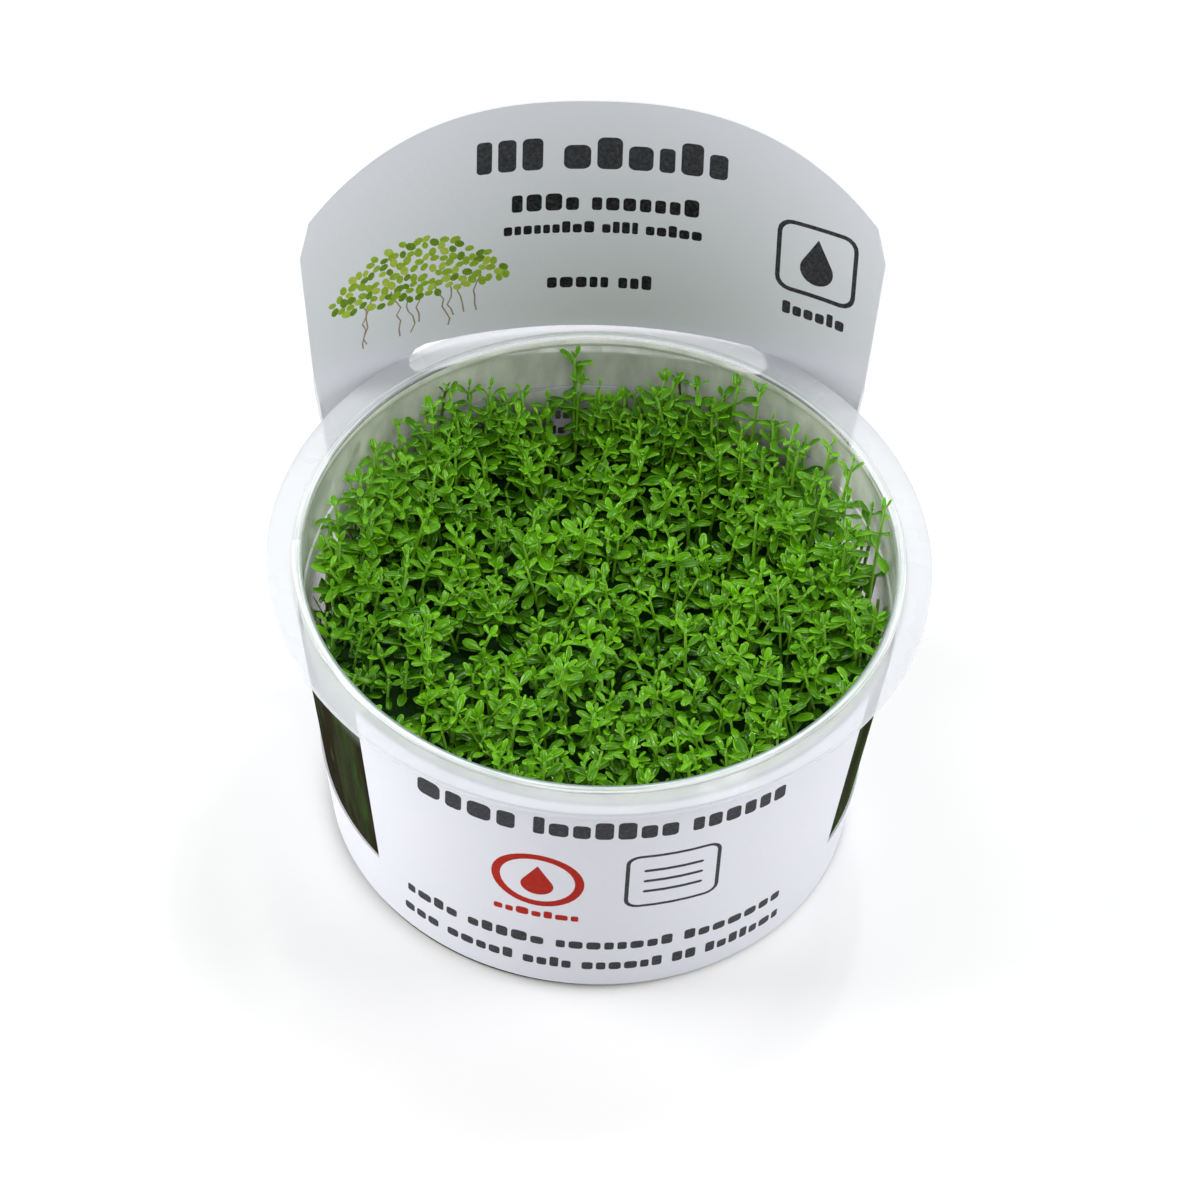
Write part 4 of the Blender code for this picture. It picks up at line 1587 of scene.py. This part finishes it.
@dataclass
class Studio:
    """Floor, lights and camera."""

    camera_place: tuple[float, float, float] = (0.0, -595.53 * MM, 729.57 * MM)
    aim: tuple[float, float, float] = (0.346 * MM, 0.0, 44.45 * MM)
    roll: float = math.radians(2.62)
    lens: float = 178.07
    floor_size: float = 6.0
    ambient: float = 0.04

    def build(self) -> None:
        """Set up the whole studio."""
        self.lay_floor()
        self.light()
        self.set_camera()

    def lay_floor(self) -> None:
        """Lay the pale floor under the cup."""
        bm = bmesh.new()
        bmesh.ops.create_grid(bm, x_segments=8, y_segments=8, size=self.floor_size / 2.0)
        floor = add_piece("studio_floor", bm, PaleFloor().make())

    def light(self) -> None:
        """Light the room evenly with softboxes above and at both sides."""
        world = bpy.data.worlds.new("studio")
        bpy.context.scene.world = world
        world.use_nodes = True
        background = next(node for node in world.node_tree.nodes if node.type == "BACKGROUND")
        background.inputs["Color"].default_value = (0.97, 0.985, 1.0, 1.0)
        background.inputs["Strength"].default_value = self.ambient
        for softbox in (
            Softbox("rear overhead softbox", (-0.05, 0.45, 0.85), 0.50, 2.6),
            Softbox("front overhead softbox", (0.0, -0.50, 0.80), 0.50, 3.4),
            Softbox("left softbox", (-0.80, 0.05, 0.45), 0.45, 4.1),
            Softbox("right softbox", (0.80, 0.05, 0.45), 0.45, 3.3),
            Softbox("low left softbox", (-0.80, -0.05, 0.16), 0.30, 2.0),
            Softbox("low right softbox", (0.80, -0.05, 0.18), 0.30, 0.9),
            Softbox("right rear softbox", (0.60, 0.50, 0.50), 0.45, 1.0),
            Softbox("spark lamp", (0.15, 0.30, 0.80), 0.03, 0.8),
        ):
            softbox.build()
        bpy.context.scene.view_settings.view_transform = "Standard"

    def set_camera(self) -> None:
        """Place the camera at the photograph's viewing angle."""
        data = bpy.data.cameras.new("camera")
        data.sensor_width = 36.0
        data.lens = self.lens
        data.clip_start = 0.01
        data.clip_end = 20.0
        camera = bpy.data.objects.new("camera", data)
        camera.location = self.camera_place
        facing = (Vector(self.aim) - Vector(self.camera_place)).to_track_quat("-Z", "Y")
        camera.rotation_mode = "QUATERNION"
        camera.rotation_quaternion = facing @ Quaternion((0.0, 0.0, 1.0), self.roll)
        bpy.context.scene.collection.objects.link(camera)
        bpy.context.scene.camera = camera


def make_inks() -> list[bpy.types.Material]:
    """Mix the printing inks in the order of Tone."""
    return [ink.make() for ink in (
        Ink("dark grey ink", (0.036, 0.036, 0.042), (0.070, 0.070, 0.078)),
        Ink("black ink", (0.012, 0.012, 0.013), (0.045, 0.045, 0.048)),
        Ink("red ink", (0.40, 0.012, 0.004), (0.48, 0.026, 0.010)),
        Ink("leaf green ink", (0.26, 0.42, 0.028), (0.36, 0.50, 0.06)),
        Ink("pale green ink", (0.40, 0.52, 0.055), (0.48, 0.60, 0.12)),
        Ink("moss green ink", (0.13, 0.25, 0.016), (0.20, 0.33, 0.04)),
        Ink("root brown ink", (0.30, 0.22, 0.15), (0.42, 0.34, 0.26)),
    )]


def main() -> None:
    """Dress the frame: cup, sleeve, gel, undergrowth, plants and studio, in that order."""
    logging.basicConfig(level=logging.INFO, format="%(name)s: %(message)s")
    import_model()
    cup = Cup()
    flange = CupPlastic("milky plastic flange", (0.80, 0.82, 0.86), 0.45, 0.78, 0.30,
                        mottle=0.03, depth=0.03 * MM)
    inside = MistedPlastic("misted inner wall", (0.90, 0.93, 0.82), 0.05, 0.16, 0.26, gloss=0.3, bending=1.25)
    long_stem = StemSkin("long stem", (0.13, 0.20, 0.035), (0.12, 0.085, 0.04), 14.0 * MM, 42.0 * MM)
    cup.build(
        GrownWall("clear plastic wall", (0.034, 0.040, 0.020), 0.05, 0.40, gloss=0.0, bending=1.2).make(),
        flange.make(),
        RingedPlastic("clear plastic bead", (0.86, 0.92, 0.92), 0.45, 0.90, 0.05, 2.5 * MM, 0.5 * MM).make(),
        inside.make(),
    )
    Sleeve(cup).build(Card().make(), make_inks(), Print().marks())
    gel = frame_nodes()["growth_gel"]
    gel.data.materials.clear()
    gel.data.materials.append(Gel().make())
    Mat(cup).build(Undergrowth().make())
    WallStems(cup).build(long_stem.make())
    Cushion(cup).build(LeafSkin().make(), StemSkin().make())
    Studio().build()


if __name__ == "__main__":
    main()
